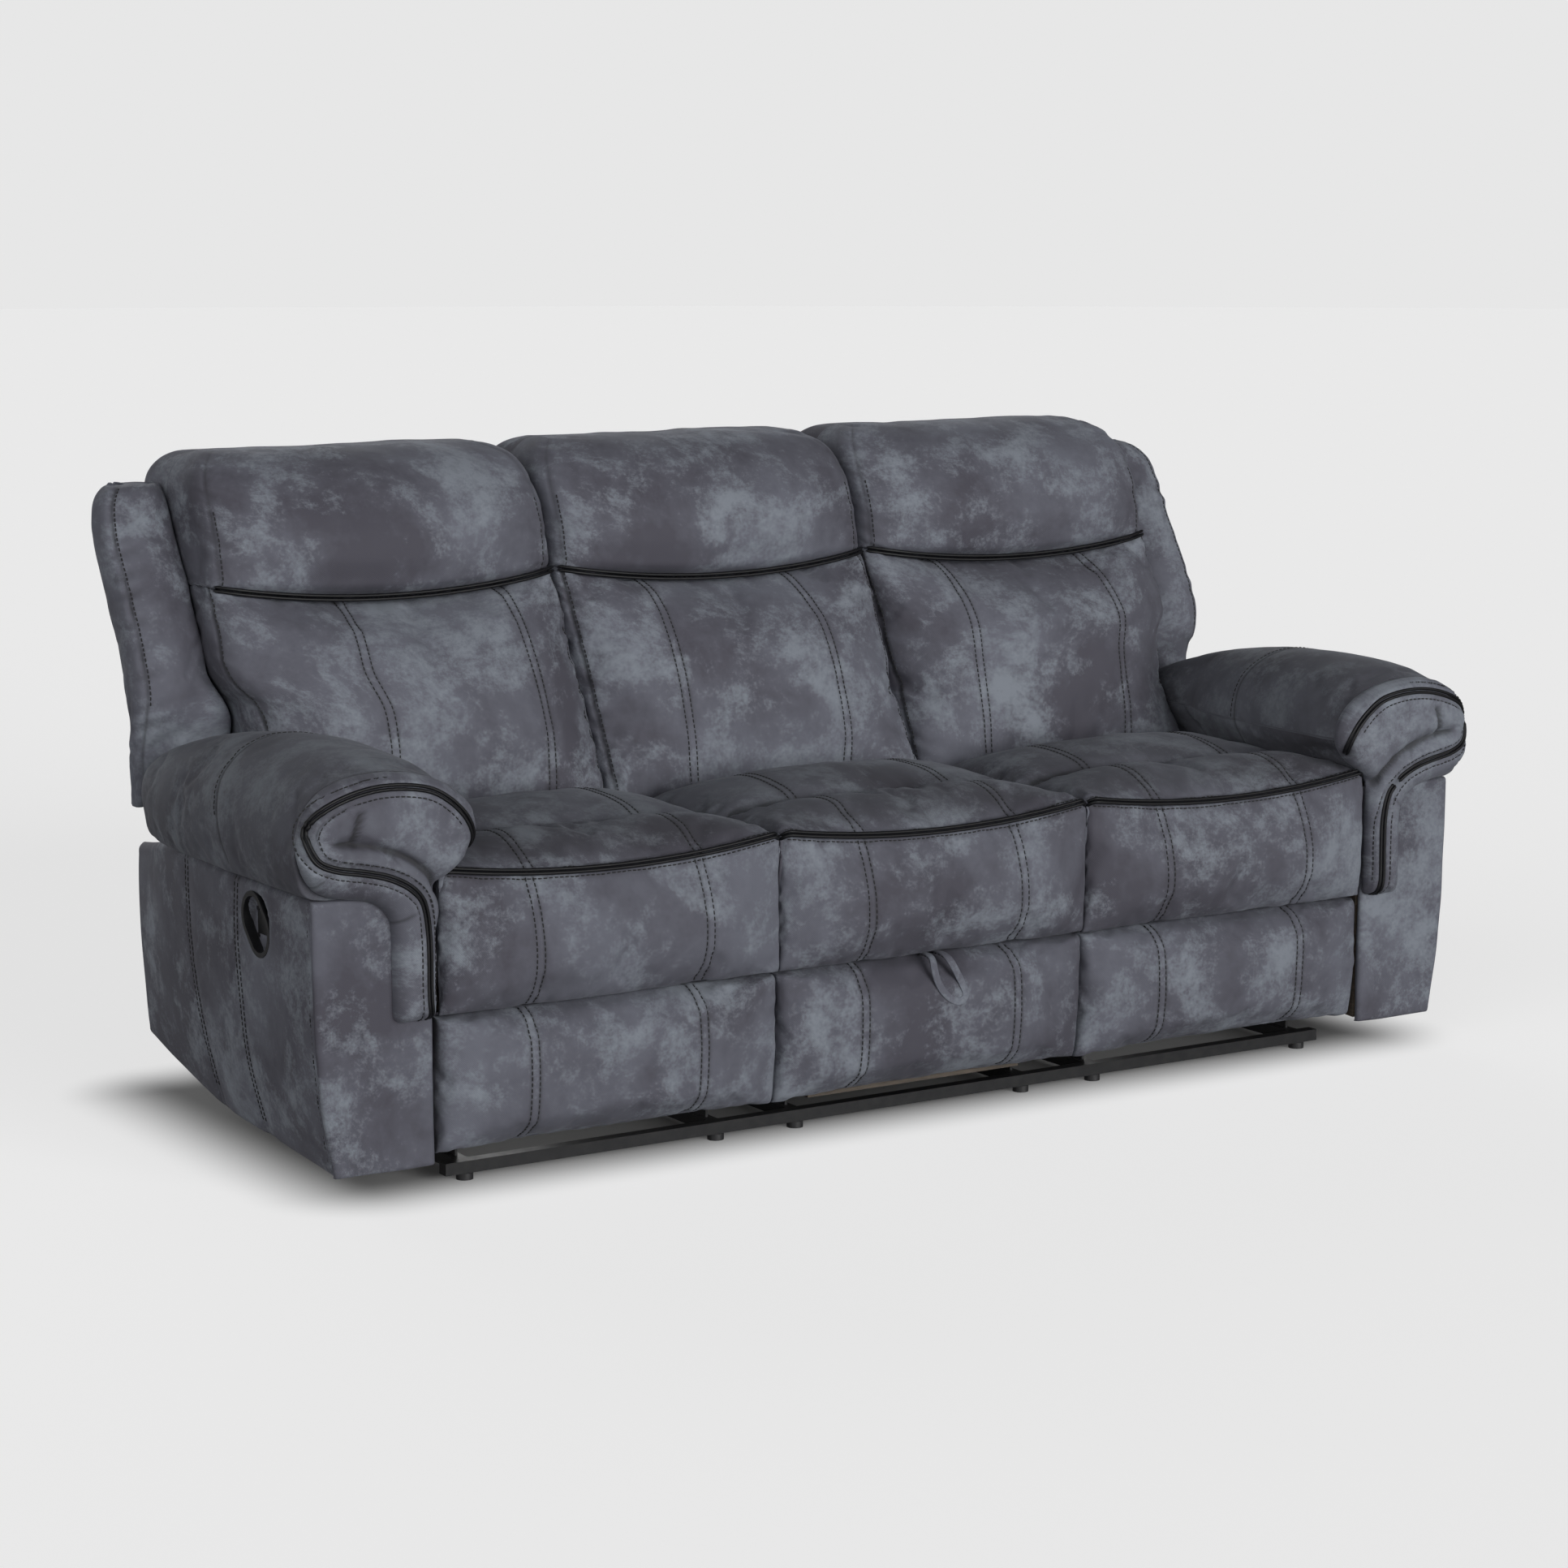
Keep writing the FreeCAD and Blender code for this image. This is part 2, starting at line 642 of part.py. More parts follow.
def drawer():
    front = -d.panel_board_back
    half = d.drawer_half
    wall = d.drawer_wall
    case = box("drawer_case", -half, half, front, d.drawer_rear, d.drawer_bottom, d.drawer_top)
    inside = box("drawer_inside", wall - half, half - wall, front + wall, d.drawer_rear - wall,
                 d.drawer_bottom + d.drawer_floor, d.drawer_top + wall)
    tray = cut("drawer_tray", case, inside)
    keep("drawer_box", tray)
    runners = []
    slides = []
    high = d.runner_bottom + d.runner_height
    for hand in (-1, 1):
        name = "left" if hand < 0 else "right"
        slide_low, slide_high = sides(hand, half, half + d.slide_thick)
        slides.append(box(f"{name}_slide", slide_low, slide_high, front, d.drawer_rear,
                          d.runner_bottom, high))
        low, high_x = sides(hand, half + d.slide_thick + d.runner_gap, d.plate_offset)
        runners.append(box(f"{name}_runner", low, high_x, -d.plate_front, d.drawer_rear,
                           d.runner_bottom, high))
    keep("drawer_slides", *slides)
    keep("drawer_runners", *runners)
    panel_board("drawer_front_board", 0.0)
    panel_pad("drawer_front_pad", 0.0)
    pull_strap()


def pull_strap():
    """A flat band folded into a loop that hangs from a tab on the top of the drawer's front."""
    outer = float(d.strap_half)
    inner = outer - float(d.strap_thick)
    low = -float(d.strap_drop)
    band = outline(
        V(-outer, 0, 0),
        (V(-outer, 0, low),),
        (V(0, 0, low - outer), V(outer, 0, low)),
        (V(outer, 0, 0),),
        (V(inner, 0, 0),),
        (V(inner, 0, low),),
        (V(0, 0, low - inner), V(-inner, 0, low)),
        (V(-inner, 0, 0),),
        (V(-outer, 0, 0),),
    )
    loop = doc.addObject("Part::Feature", "strap_loop")
    loop.Shape = Part.Face(band).extrude(V(0, -float(d.strap_width), 0))
    front = d.panel_board_back + d.panel_board_thick + d.panel_edge
    root = V(0, -float(front), float(d.panel_top))
    loop.Placement = FreeCAD.Placement(root, FreeCAD.Rotation(V(1, 0, 0), -float(d.strap_tilt)))
    tab = box("strap_tab_band", -d.strap_half, d.strap_half, -(front + d.strap_width),
              d.strap_tab - front, d.panel_top, d.panel_top + d.strap_thick)
    keep("pull_strap", fuse("strap_loop_and_tab", loop, tab))


# Backs: frame, brackets, rear panel, lumbar and head cushions, wings

def rear_face(height):
    """Where the leaning rear face of the back stands at a height."""
    return d.back_datum_rear + (height - d.back_foot) * d.back_slope


def behind(depth, low, high):
    """The space behind a leaning plane that is a depth ahead of the rear face."""
    far = 2 * float(d.arm_outer)
    front_low = float(rear_face(low)) - depth
    front_high = float(rear_face(high)) - depth
    face = Part.makePolygon([V(-far, front_low, low), V(-far, front_low + far, low),
                             V(-far, front_high + far, high), V(-far, front_high, high),
                             V(-far, front_low, low)])
    return Part.Face(face).extrude(V(2 * far, 0, 0))


def leaning(name, x0, x1, front, rear, low, high):
    """A board that leans with the back: front and rear are set-backs from the rear face."""
    corners = (
        (rear_face(low) - front, low),
        (rear_face(low) - rear, low),
        (rear_face(high) - rear, high),
        (rear_face(high) - front, high),
    )
    return pad_outline(name, "YZ_Plane", corners, x1 - x0, x0)


def back_frame(seat, number):
    middle = d.seat_pitch * number
    depth = d.back_panel_thick + d.back_frame_depth
    inner = plate_outer + d.link_gap + d.plate_thick
    boards = []
    for hand in (-1, 1):
        low, high = sides(hand, inner, inner + d.back_post_width)
        boards.append(leaning(f"{seat}_post_{'left' if hand < 0 else 'right'}", middle + low,
                              middle + high, depth, d.back_panel_thick, d.back_foot,
                              d.back_frame_top))
    for name, low in (("low", d.back_low_rail), ("mid", d.back_mid_rail),
                      ("top", d.back_frame_top - d.back_rail_width)):
        boards.append(leaning(f"{seat}_back_rail_{name}", middle - inner, middle + inner,
                              depth, d.back_panel_thick, low, low + d.back_rail_width))
    keep(f"{seat}_back_frame", *boards)


def back_brackets(seat, number):
    """Steel plates on the posts, with the pins that turn in the mechanism plates."""
    middle = d.seat_pitch * number
    reach = d.back_pin_radius * 3
    depth = d.back_panel_thick + d.back_frame_depth
    corners = (
        (d.back_pivot_rear - reach, d.back_pivot_height - reach),
        (rear_face(d.back_pivot_height - reach) - d.back_panel_thick,
         d.back_pivot_height - reach),
        (rear_face(d.back_bracket_top) - d.back_panel_thick, d.back_bracket_top),
        (rear_face(d.back_bracket_top) - depth, d.back_bracket_top),
        (d.back_pivot_rear - reach, d.back_pivot_height + reach),
    )
    brackets = []
    for hand in (-1, 1):
        name = f"{seat}_back_bracket_{'left' if hand < 0 else 'right'}"
        low, _ = sides(hand, plate_outer + d.link_gap, plate_outer + d.link_gap + d.plate_thick)
        plate = pad_outline(f"{name}_plate", "YZ_Plane", corners, d.plate_thick, middle + low)
        pin_low, pin_high = sides(hand, d.plate_offset - d.link_gap, plate_outer + d.plate_thick)
        pin = rod(f"{name}_pin", "x", d.back_pin_radius, pin_high - pin_low,
                  middle + pin_low, d.back_pivot_rear, d.back_pivot_height)
        brackets.append(fuse(name, plate, pin))
    keep(f"{seat}_back_brackets", *brackets)


def back_edges(number):
    """The low and high X of a back module's cushions, above and between the arms."""
    inner = d.back_pitch / 2 + d.soft_gap
    if number == 0:
        half = d.back_pitch / 2 - d.soft_gap
        return (-half, half), (-half, half)
    return sides(number, inner, d.back_outer), sides(number, inner, d.back_outer_low)


def rear_panel(seat, number):
    low, high = back_edges(number)[1]
    main = leaning(f"{seat}_rear_skin", low, high, d.back_panel_thick, 0.0, d.back_foot,
                   d.back_frame_top)
    if number == 0:
        keep(f"{seat}_rear_panel", main)
        return
    low, high = sides(number, d.back_outer_low, wing_rear)
    side = leaning(f"{seat}_rear_wing_skin", low, high, d.back_panel_thick, 0.0, d.wing_bottom,
                   d.back_frame_top)
    keep(f"{seat}_rear_panel", fuse(f"{seat}_rear_skins", main, side))


def cushion_ring(low, high, edge, crown, rear, height, roll):
    """A level section of a back cushion: crowned front, side walls that bulge past the seams."""
    left = float(low) + roll
    right = float(high) - roll
    middle = (left + right) / 2
    wall = (edge + rear) / 2
    return outline(
        V(left, rear, height),
        (V(float(low), wall, height), V(left, edge, height)),
        (V(middle, edge - crown, height), V(right, edge, height)),
        (V(float(high), wall, height), V(right, rear, height)),
        (V(left, rear, height),),
    )


# Lumbar cushion from its bottom to the seat line: share of that height, setback of the edge,
# crown as a share of lumbar_crown.
LUMBAR_FOOT = ((0.0, 8.0, 0.06), (0.9, 4.0, 0.06))

# Above the seat line: share of the height to the seam, crown, share of the full width.
LUMBAR_RISE = ((0.03, 0.14, 0.0), (0.16, 0.42, 0.0), (0.34, 0.72, 0.0), (0.5, 0.95, 0.25),
               (0.66, 1.0, 1.0), (0.82, 0.84, 1.0), (0.93, 0.5, 1.0), (1.0, 0.2, 1.0))


def lumbar_cushion(seat, number):
    """Swells from the seat to its crown, then draws in to the seam under the head cushion."""
    wide, narrow = back_edges(number)
    depth = float(d.back_panel_thick + d.back_frame_depth + d.back_skin_clear)
    bottom = float(d.lumbar_bottom)
    line = float(d.lumbar_line)
    span = float(d.head_seam) - line
    stations = [(bottom + (line - bottom) * share, float(d.lumbar_front) + setback, swell, 0.0)
                for share, setback, swell in LUMBAR_FOOT]
    stations += [(line + span * share, float(d.lumbar_front + d.lumbar_slope * span * share),
                  swell, width) for share, swell, width in LUMBAR_RISE]
    sections = []
    for height, edge, swell, width in stations:
        low = float(narrow[0]) * (1 - width) + float(wide[0]) * width
        high = float(narrow[1]) * (1 - width) + float(wide[1]) * width
        rear = float(rear_face(height)) - depth
        sections.append(cushion_ring(low, high, edge, float(d.lumbar_crown) * swell, rear, height,
                                     float(d.cushion_roll)))
    soft(f"{seat}_lumbar_cushion", sections)


# Head cushion: share of its height, setback of the front edge from the seam, crown, inset of
# the sides, share of the way from the frame's front to the rear.
HEAD_RISE = ((0.0, 0.0, 0.3, 0.0, 0.2), (0.12, 6.0, 0.74, 0.0, 0.36), (0.28, 15.0, 1.0, 0.0, 0.58),
             (0.46, 28.0, 1.0, 0.0, 0.8), (0.62, 46.0, 0.86, 2.0, 0.95),
             (0.78, 72.0, 0.66, 8.0, 1.0), (0.9, 104.0, 0.46, 24.0, 0.9),
             (0.97, 138.0, 0.3, 52.0, 0.68), (1.0, 168.0, 0.2, 92.0, 0.42))


def head_cushion(seat, number):
    """Swells above its seam and rolls over the top of the frame and the rear panel."""
    low, high = back_edges(number)[0]
    depth = float(d.back_panel_thick + d.back_frame_depth + d.back_skin_clear)
    seam = float(d.head_seam) + 0.5
    span = float(d.back_top) - seam
    foot = float(d.lumbar_front + d.lumbar_slope * (d.head_seam - d.lumbar_line))
    top_rear = float(rear_face(d.back_frame_top)) + float(d.head_overhang)
    sections = []
    for share, lean, swell, inset, rear_share in HEAD_RISE:
        height = seam + span * share
        frame_side = float(rear_face(height)) - depth
        rear = frame_side + (top_rear - frame_side) * rear_share
        sections.append(cushion_ring(float(low) + inset, float(high) - inset, foot + lean,
                                     float(d.head_crown) * swell, rear, height,
                                     float(d.cushion_roll)))
    rest = behind(depth, seam - 1.0, float(d.back_frame_top + d.back_skin_clear))
    soft(f"{seat}_head_cushion", sections, away=rest)


# Wing: share of its height, share of the front edge's climb, inset of the outer side as a share
# of the wing's width, and of the rear at the rounded top. The front edge stands upright behind the arm pad, then leans.
WING_RISE = ((0.0, 0.08, 0.0, 0.0), (0.12, 0.0, 0.0, 0.0), (0.27, 0.0, 0.0, 0.0),
             (0.45, 0.11, 0.0, 0.0), (0.65, 0.36, 0.0, 0.0), (0.83, 0.62, 0.0, 0.0),
             (0.93, 0.76, 0.07, 3.0), (0.98, 0.87, 0.21, 10.0), (1.0, 1.0, 0.38, 26.0))


def wing(seat, side):
    """The side bolster: a boxed pad in front, a narrower shell behind, a rounded top."""
    span = float(d.wing_top - d.wing_bottom)
    foot = float(d.pad_rear + d.wing_clear + d.wing_crown)
    climb = float(d.wing_top_front) - foot
    crown = float(d.wing_crown)
    rest = float(d.back_panel_thick + d.back_skin_clear)
    sections = []
    for share, climbed, inset_share, rear_in in WING_RISE:
        inset = float(wing_width) * inset_share
        height = float(d.wing_bottom) + span * share
        front = foot + climb * climbed
        rear = float(rear_face(height)) - rest - rear_in
        inner = side * float(d.wing_inner)
        outer = side * (float(d.wing_outer) - inset)
        shell = side * (float(wing_rear) - inset / 2)
        step = front + (rear - front) * float(d.wing_pad_share)
        sections.append(outline(
            V(inner, rear, height),
            (V(inner, front, height),),
            (V((inner + outer) / 2, front - crown, height), V(outer, front + crown / 2, height)),
            (V(outer + side * crown / 3, (front + step) / 2, height), V(outer, step, height)),
            (V(shell, rear, height),),
            (V(inner, rear, height),),
        ))
    soft(f"{seat}_wing", sections, away=behind(rest, float(d.wing_bottom) - rest,
                                               float(d.wing_top) + rest))


# Arms: frame, side and front panels, pad, boot, latch

# Stations along an arm, as shares of its length, and the share where its top starts to fall.
ALONG_ARM = (0.0, 0.1, 0.2, 0.3, 0.4, 0.5, 0.6, 0.7, 0.78, 0.86, 0.93, 1.0)
ARM_FALL_FROM = 0.7

# Width of the arm's rear board, as a share of the room between the inner board and the panel.
REAR_BOARD_SHARE = 0.72

def arm_face(share):
    """The arm's outer face at a share of its length: top, tucked bottom, bottom and top height."""
    top = float(d.arm_outer) - float(arm_taper) * share ** 2.5
    bottom = float(d.arm_outer - arm_tuck) - float(arm_low_taper) * share
    height = float(d.arm_bottom) + float(d.arm_bottom_rise) * share
    fallen = (share - ARM_FALL_FROM) / (1 - ARM_FALL_FROM) if share > ARM_FALL_FROM else 0.0
    crest = float(d.arm_top) - float(d.arm_top - d.arm_rear_top) * fallen
    return top, bottom, height, crest


def arm_frame(arm, side):
    low, high = sides(side, d.arm_inner, d.arm_inner + d.board_thick)
    inner = pad_outline(f"{arm}_arm_inner_board", "YZ_Plane", (
        (-d.arm_front, d.arm_bottom + 6.0),
        (d.arm_rear - d.board_thick, d.arm_bottom + d.arm_bottom_rise + 6.0),
        (d.arm_rear - d.board_thick, d.arm_rear_top - 4.0),
        (d.arm_rear - 160.0, d.arm_top - d.board_thick),
        (-d.arm_front, d.arm_top - d.board_thick),
    ), d.board_thick, low,
        holes=((-d.latch_front, d.cable_hole_height, d.cable_radius + 3.0),))
    board = d.arm_inner + d.board_thick
    reach = d.arm_outer - d.arm_skin - d.arm_frame_clear
    flip = float(side)
    top = pad_outline(f"{arm}_arm_top_board", "XY_Plane", (
        (d.arm_inner * flip, -d.arm_front),
        (reach * flip, -d.arm_front),
        ((reach - 2.0) * flip, -(d.arm_front - 220.0)),
        ((reach - arm_taper * 0.5) * flip, d.arm_rear - 160.0),
        (d.arm_inner * flip, d.arm_rear - 160.0),
    ), d.board_thick, d.arm_top - d.board_thick)
    low, high = sides(side, board, d.arm_outer - d.arm_skin - arm_tuck - 6.0)
    front = box(f"{arm}_arm_front_board", low, high, -d.arm_front, d.board_thick - d.arm_front,
                d.arm_bottom + 12.0, d.arm_top - d.board_thick)
    room = d.arm_outer - arm_taper - d.arm_skin - board
    low, high = sides(side, board, board + room * REAR_BOARD_SHARE)
    rear = box(f"{arm}_arm_rear_board", low, high, d.arm_rear - d.board_thick * 2,
               d.arm_rear - d.board_thick, d.arm_bottom + d.arm_bottom_rise + 8.0,
               d.arm_rear_top - 6.0)
    keep(f"{arm}_arm_frame", inner, top, front, rear)


def arm_brackets():
    """Steel blocks that hold each arm on the seat frame beside it."""
    brackets = []
    for arm, side in ARMS:
        low, high = sides(side, d.seat_pitch + d.deck_half, d.arm_inner)
        for k, start in enumerate((d.bracket_inset - d.deck_front, d.deck_rear - d.bracket_inset)):
            brackets.append(box(f"{arm}_arm_bracket_{k}", low, high, start,
                                start + d.batten_width, deck_bottom + 8.0, deck_top - 8.0))
    keep("arm_brackets", *brackets)


# Release cable from the latch cup to the inner board: share of the way out from the board,
# share of the climb from its hole to the cup.
CABLE_RUN = ((1.0, 1.0), (0.7, 1.0), (0.42, 0.71), (0.36, 0.39), (0.28, 0.0))


def release_cables():
    """From the back of each latch cup, through the arm's inner board, to the mechanism plate."""
    cables = []
    for arm, side in ARMS:
        floor = float(d.arm_outer - d.latch_sunk - d.latch_depth)
        plate = float(d.seat_pitch + plate_outer)
        y = -float(d.latch_front)
        top = float(d.latch_height)
        low = float(d.cable_hole_height)
        board = float(d.arm_inner + d.board_thick / 2)
        room = floor - board
        route = [V(side * (board + room * share), y, low + (top - low) * rise)
                 for share, rise in CABLE_RUN]
        route.append(V(side * plate, y, low))
        cables.append(tube(f"{arm}_cable", route, float(d.cable_radius)))
    keep("release_cables", *cables)


def tube(name, route, radius):
    """A round tube along straight runs that are joined by tangent arcs."""
    edges = []
    here = route[0]
    radii = []
    for before, point, after in zip(route, route[1:], route[2:]):
        back = before - point
        ahead = after - point
        reach = 0.45 * min(back.Length, ahead.Length)
        half_turn = (math.pi - back.getAngle(ahead)) / 2
        radii.append(reach / math.tan(half_turn))
        start = point + back.normalize() * reach
        end = point + ahead.normalize() * reach
        bisector = (back + ahead).normalize()
        sag = radii[-1] * (1 / math.cos(half_turn) - 1)
        edges.append(Part.LineSegment(here, start).toShape())
        edges.append(Part.Arc(start, point + bisector * sag, end).toShape())
        here = end
    edges.append(Part.LineSegment(here, route[-1]).toShape())
    path = Part.Wire(edges)
    ring = Part.Wire(Part.Circle(route[0], route[1] - route[0], radius).toShape())
    item = doc.addObject("Part::Feature", name)
    item.Shape = path.makePipeShell([ring], True, False)
    length = sum(edge.Length for edge in edges)
    print(f"{name}: radii {[round(r) for r in radii]} mm, length {length:.0f} mm, volume share "
          f"{item.Shape.Volume / (math.pi * radius ** 2 * length):.4f}")
    return item


def arm_side_panel(arm, side):
    """The padded outer side, tucked in at the bottom and run in to the rear, cut for the latch."""
    sections = []
    skin = float(d.arm_skin)
    length = float(d.arm_front + d.arm_rear)
    for share in ALONG_ARM:
        y = -float(d.arm_front) + length * share
        top, bottom, low, crest = arm_face(share)
        middle = low + (crest - low) * 0.5
        waist = bottom + (top - bottom) * 0.88
        sections.append(outline(
            V(side * top, y, crest),
            (V(side * waist, y, middle), V(side * bottom, y, low)),
            (V(side * (bottom - skin), y, low),),
            (V(side * (waist - skin), y, middle), V(side * (top - skin), y, crest)),
            (V(side * top, y, crest),),
        ))
    fit = float(d.latch_fit)
    well = latch_solid(side, d.latch_radius + fit, skin, float(d.latch_depth) * 2)
    rim = latch_solid(side, d.latch_radius + d.latch_lip + fit, skin, fit)
    soft(f"{arm}_arm_side_panel", sections, ruled=True, away=well.fuse(rim))


def latch_solid(side, radius, outward, inward):
    """A tilted oval prism round the latch, from outward of the arm's face to inward of it."""
    grow = float(radius)
    y = -float(d.latch_front)
    z = float(d.latch_height)
    shift = float(d.latch_shift)
    turn = grow * math.sqrt(0.5)
    x = float(d.arm_outer - d.latch_sunk) + outward
    face = Part.Face(outline(
        V(x, y + shift - turn, z + shift + turn),
        (V(x, y + shift + turn, z + shift + turn), V(x, y + shift + turn, z + shift - turn)),
        (V(x, y - shift + turn, z - shift - turn),),
        (V(x, y - shift - turn, z - shift - turn), V(x, y - shift - turn, z - shift + turn)),
        (V(x, y + shift - turn, z + shift + turn),),
    ))
    solid = face.extrude(V(-outward - inward, 0, 0))
    return solid if side > 0 else solid.mirror(V(0, 0, 0), V(1, 0, 0))


def arm_front_panel(arm, side):
    flip = float(side)
    top = d.arm_outer + 2.0
    corners = (
        (d.arm_inner * flip, d.arm_bottom + 6.0),
        ((d.arm_outer - arm_tuck) * flip, d.arm_bottom),
        ((top - arm_tuck * 0.35) * flip, d.arm_bottom + 130.0),
        (top * flip, d.arm_bottom + 260.0),
        (top * flip, d.arm_top),
        (d.arm_inner * flip, d.arm_top),
    )
    keep(f"{arm}_arm_front_panel", pad_outline(f"{arm}_front_skin", "XZ_Plane", corners,
                                               d.arm_front_skin, d.arm_front))


# Arm pad: share of its length, how far the inner side runs in towards the arm's inner face,
# how far the outer side runs in, how far the top falls. The last three are the blunt rear end.
PAD_RUN = ((0.0, 0.12, 6.0, 18.0), (0.1, 0.02, 1.0, 5.0), (0.3, 0.0, 0.0, 0.0),
           (0.48, 0.12, 1.0, 7.0), (0.63, 0.6, 6.0, 18.0), (0.72, 1.02, 11.0, 27.0),
           (0.84, 1.06, 24.0, 44.0), (0.93, 1.2, 38.0, 60.0), (0.98, 1.5, 56.0, 76.0),
           (1.0, 2.0, 84.0, 96.0))

# Corners of the pad's section: shares of its half width and of its height over or under its
# widest line.
PAD_SHOULDER = (0.82, 0.62)
PAD_OUTER_FLANK = (0.8, 0.72)
PAD_INNER_FLANK = (0.8, 0.3)
PAD_FOOT = 0.45


def arm_pad(arm, side):
    """The rolled pillow on the arm: fullest ahead of the middle, blunt at the rear."""
    squeeze = float(d.arm_inner - d.pad_inner)
    low = float(d.arm_top + d.deck_clear)
    middle = float(d.pad_middle)
    front = -float(d.arm_front + d.arm_front_skin)
    length = float(d.pad_rear) - front
    sections = []
    for share, run_in, run_out, fall in PAD_RUN:
        y = front + length * share
        start = float(d.pad_inner) + squeeze * run_in
        end = float(pad_outer) - run_out
        high = float(d.pad_height) - fall
        centre = (start + end) / 2
        half = (end - start) / 2
        rise = high - middle
        drop = middle - low

        def point(across, up):
            return V(side * (centre + half * across), y, middle + up)

        sections.append(outline(
            point(-1, 0),
            (point(-PAD_SHOULDER[0], rise * PAD_SHOULDER[1]), point(0, rise)),
            (point(PAD_SHOULDER[0], rise * PAD_SHOULDER[1]), point(1, 0)),
            (point(PAD_OUTER_FLANK[0], -drop * PAD_OUTER_FLANK[1]), point(PAD_FOOT, -drop)),
            (point(-PAD_FOOT, -drop),),
            (point(-PAD_INNER_FLANK[0], -drop * PAD_INNER_FLANK[1]), point(-1, 0)),
        ))
    soft(f"{arm}_arm_pad", sections)


def boot_outline(side, y, inset):
    """Scroll face over the boot, drawn in by the inset all round."""
    inner = float(d.arm_inner) + 1.0 + inset
    boot = float(d.arm_inner) + 1.0 + float(arm_width * d.boot_share) - inset
    low = float(d.boot_bottom) + inset
    roll_in = float(d.pad_inner) + 5.0 + inset
    roll_out = float(pad_outer) - 6.0 - inset
    top = float(d.pad_height) - 18.0 - inset
    middle = float(d.pad_middle)
    under = float(d.arm_top) + 8.0 + inset
    centre = (roll_in + roll_out) / 2
    half = (roll_out - roll_in) / 2
    shoulder = middle + (top - middle) * 0.62
    return outline(
        V(side * inner, y, low),
        (V(side * boot, y, low),),
        (V(side * boot, y, under - 45.0),),
        (V(side * (boot + 10.0), y, under - 19.0), V(side * (boot + 36.0), y, under - 8.0)),
        (V(side * (roll_out - 24.0), y, under + 6.0),),
        (V(side * (roll_out - 4.0), y, middle - 30.0), V(side * roll_out, y, middle)),
        (V(side * (centre + half * 0.82), y, shoulder), V(side * centre, y, top)),
        (V(side * (centre - half * 0.82), y, shoulder), V(side * roll_in, y, middle)),
        (V(side * (roll_in + 15.0), y, middle - 31.0), V(side * inner, y, under + 10.0)),
        (V(side * inner, y, low),),
    )


def arm_boot(arm, side):
    """The scroll face of the pad and the boot that runs down beside the seat, rounded in front."""
    back = -float(d.arm_front + d.arm_front_skin) - 0.3
    depth = float(d.boot_depth)
    edge = float(d.boot_round)
    sections = [boot_outline(side, back, 0.0)]
    for turn in (0, 30, 60, 90):
        angle = math.radians(turn)
        sections.append(boot_outline(side, back - depth + edge * (1 - math.sin(angle)),
                                     edge * (1 - math.cos(angle))))
    soft(f"{arm}_arm_boot", sections, ruled=True)


def latch(arm, side):
    """A cup sunk in the arm's side, with lugs for the pin of the lever that is pulled in it."""
    radius = float(d.latch_radius)
    wall = float(d.latch_wall)
    depth = float(d.latch_depth)
    face = float(d.arm_outer - d.latch_sunk)
    floor = face - depth
    pin_y = -float(d.latch_front) + float(d.lever_width) / 2
    z = float(d.latch_height)
    half = float(d.lever_height) / 2
    shape = latch_solid(side, radius, 0.0, depth)
    lip = latch_solid(side, radius + float(d.latch_lip), wall, 0.0)
    shape = shape.fuse(lip).cut(latch_solid(side, radius - wall, wall + 1.0, depth - wall))
    pin_x = floor + wall + 10.0
    for low in (z - half - 6.0, z + half + 0.5):
        lug = Part.makeBox(13.5, 8.0, 5.5, V(floor + wall - 0.5, pin_y - 4.0, low))
        shape = shape.fuse(lug if side > 0 else lug.mirror(V(0, 0, 0), V(1, 0, 0)))
    hole = Part.makeCylinder(float(d.lever_pin_radius + d.pin_clear), 60.0,
                             V(side * pin_x, pin_y, z - 30.0))
    lugs_hole = hole.common(Part.makeBox(200.0, 200.0, half * 2 + 12.0,
                                         V(side * pin_x - 100.0, pin_y - 100.0, z - half - 6.0)))
    cup = doc.addObject("Part::Feature", f"{arm}_latch_cup")
    cup.Shape = shape.cut(lugs_hole).removeSplitter()
    keep(f"{arm}_latch_cup", cup)
    blade = Part.makeBox(float(d.lever_thick), float(d.lever_width), half * 2,
                         V(pin_x - float(d.lever_thick) / 2, pin_y - float(d.lever_width), z - half))
    blade = blade if side > 0 else blade.mirror(V(0, 0, 0), V(1, 0, 0))
    knuckle = Part.makeCylinder(3.0, half * 2, V(side * pin_x, pin_y, z - half))
    pin = Part.makeCylinder(float(d.lever_pin_radius), half * 2 + 11.0,
                            V(side * pin_x, pin_y, z - half - 5.5))
    lever = doc.addObject("Part::Feature", f"{arm}_release_lever")
    lever.Shape = blade.fuse([knuckle, pin]).removeSplitter()
    keep(f"{arm}_release_lever", lever)


base_rails()
mechanism_plates()
seat_frames()
for seat, number in SEATS:
    seat_cushion(seat, number)
    padded_front(f"{seat}_seat_border", d.seat_pitch * number, d.seat_pitch / 2 - d.soft_gap,
                 d.border_back, d.border_edge, 0.0, d.border_bulge, d.border_bottom,
                 d.seat_piping, d.seat_piping_rise)
    back_frame(seat, number)
    back_brackets(seat, number)
    rear_panel(seat, number)
    lumbar_cushion(seat, number)
    head_cushion(seat, number)
    if number:
        footrest(seat, number)
        wing(seat, number)
seat_webbing()
drawer()
arm_brackets()
release_cables()
for arm, side in ARMS:
    arm_frame(arm, side)
    arm_side_panel(arm, side)
    arm_front_panel(arm, side)
    arm_pad(arm, side)
    arm_boot(arm, side)
    latch(arm, side)

doc.recompute()

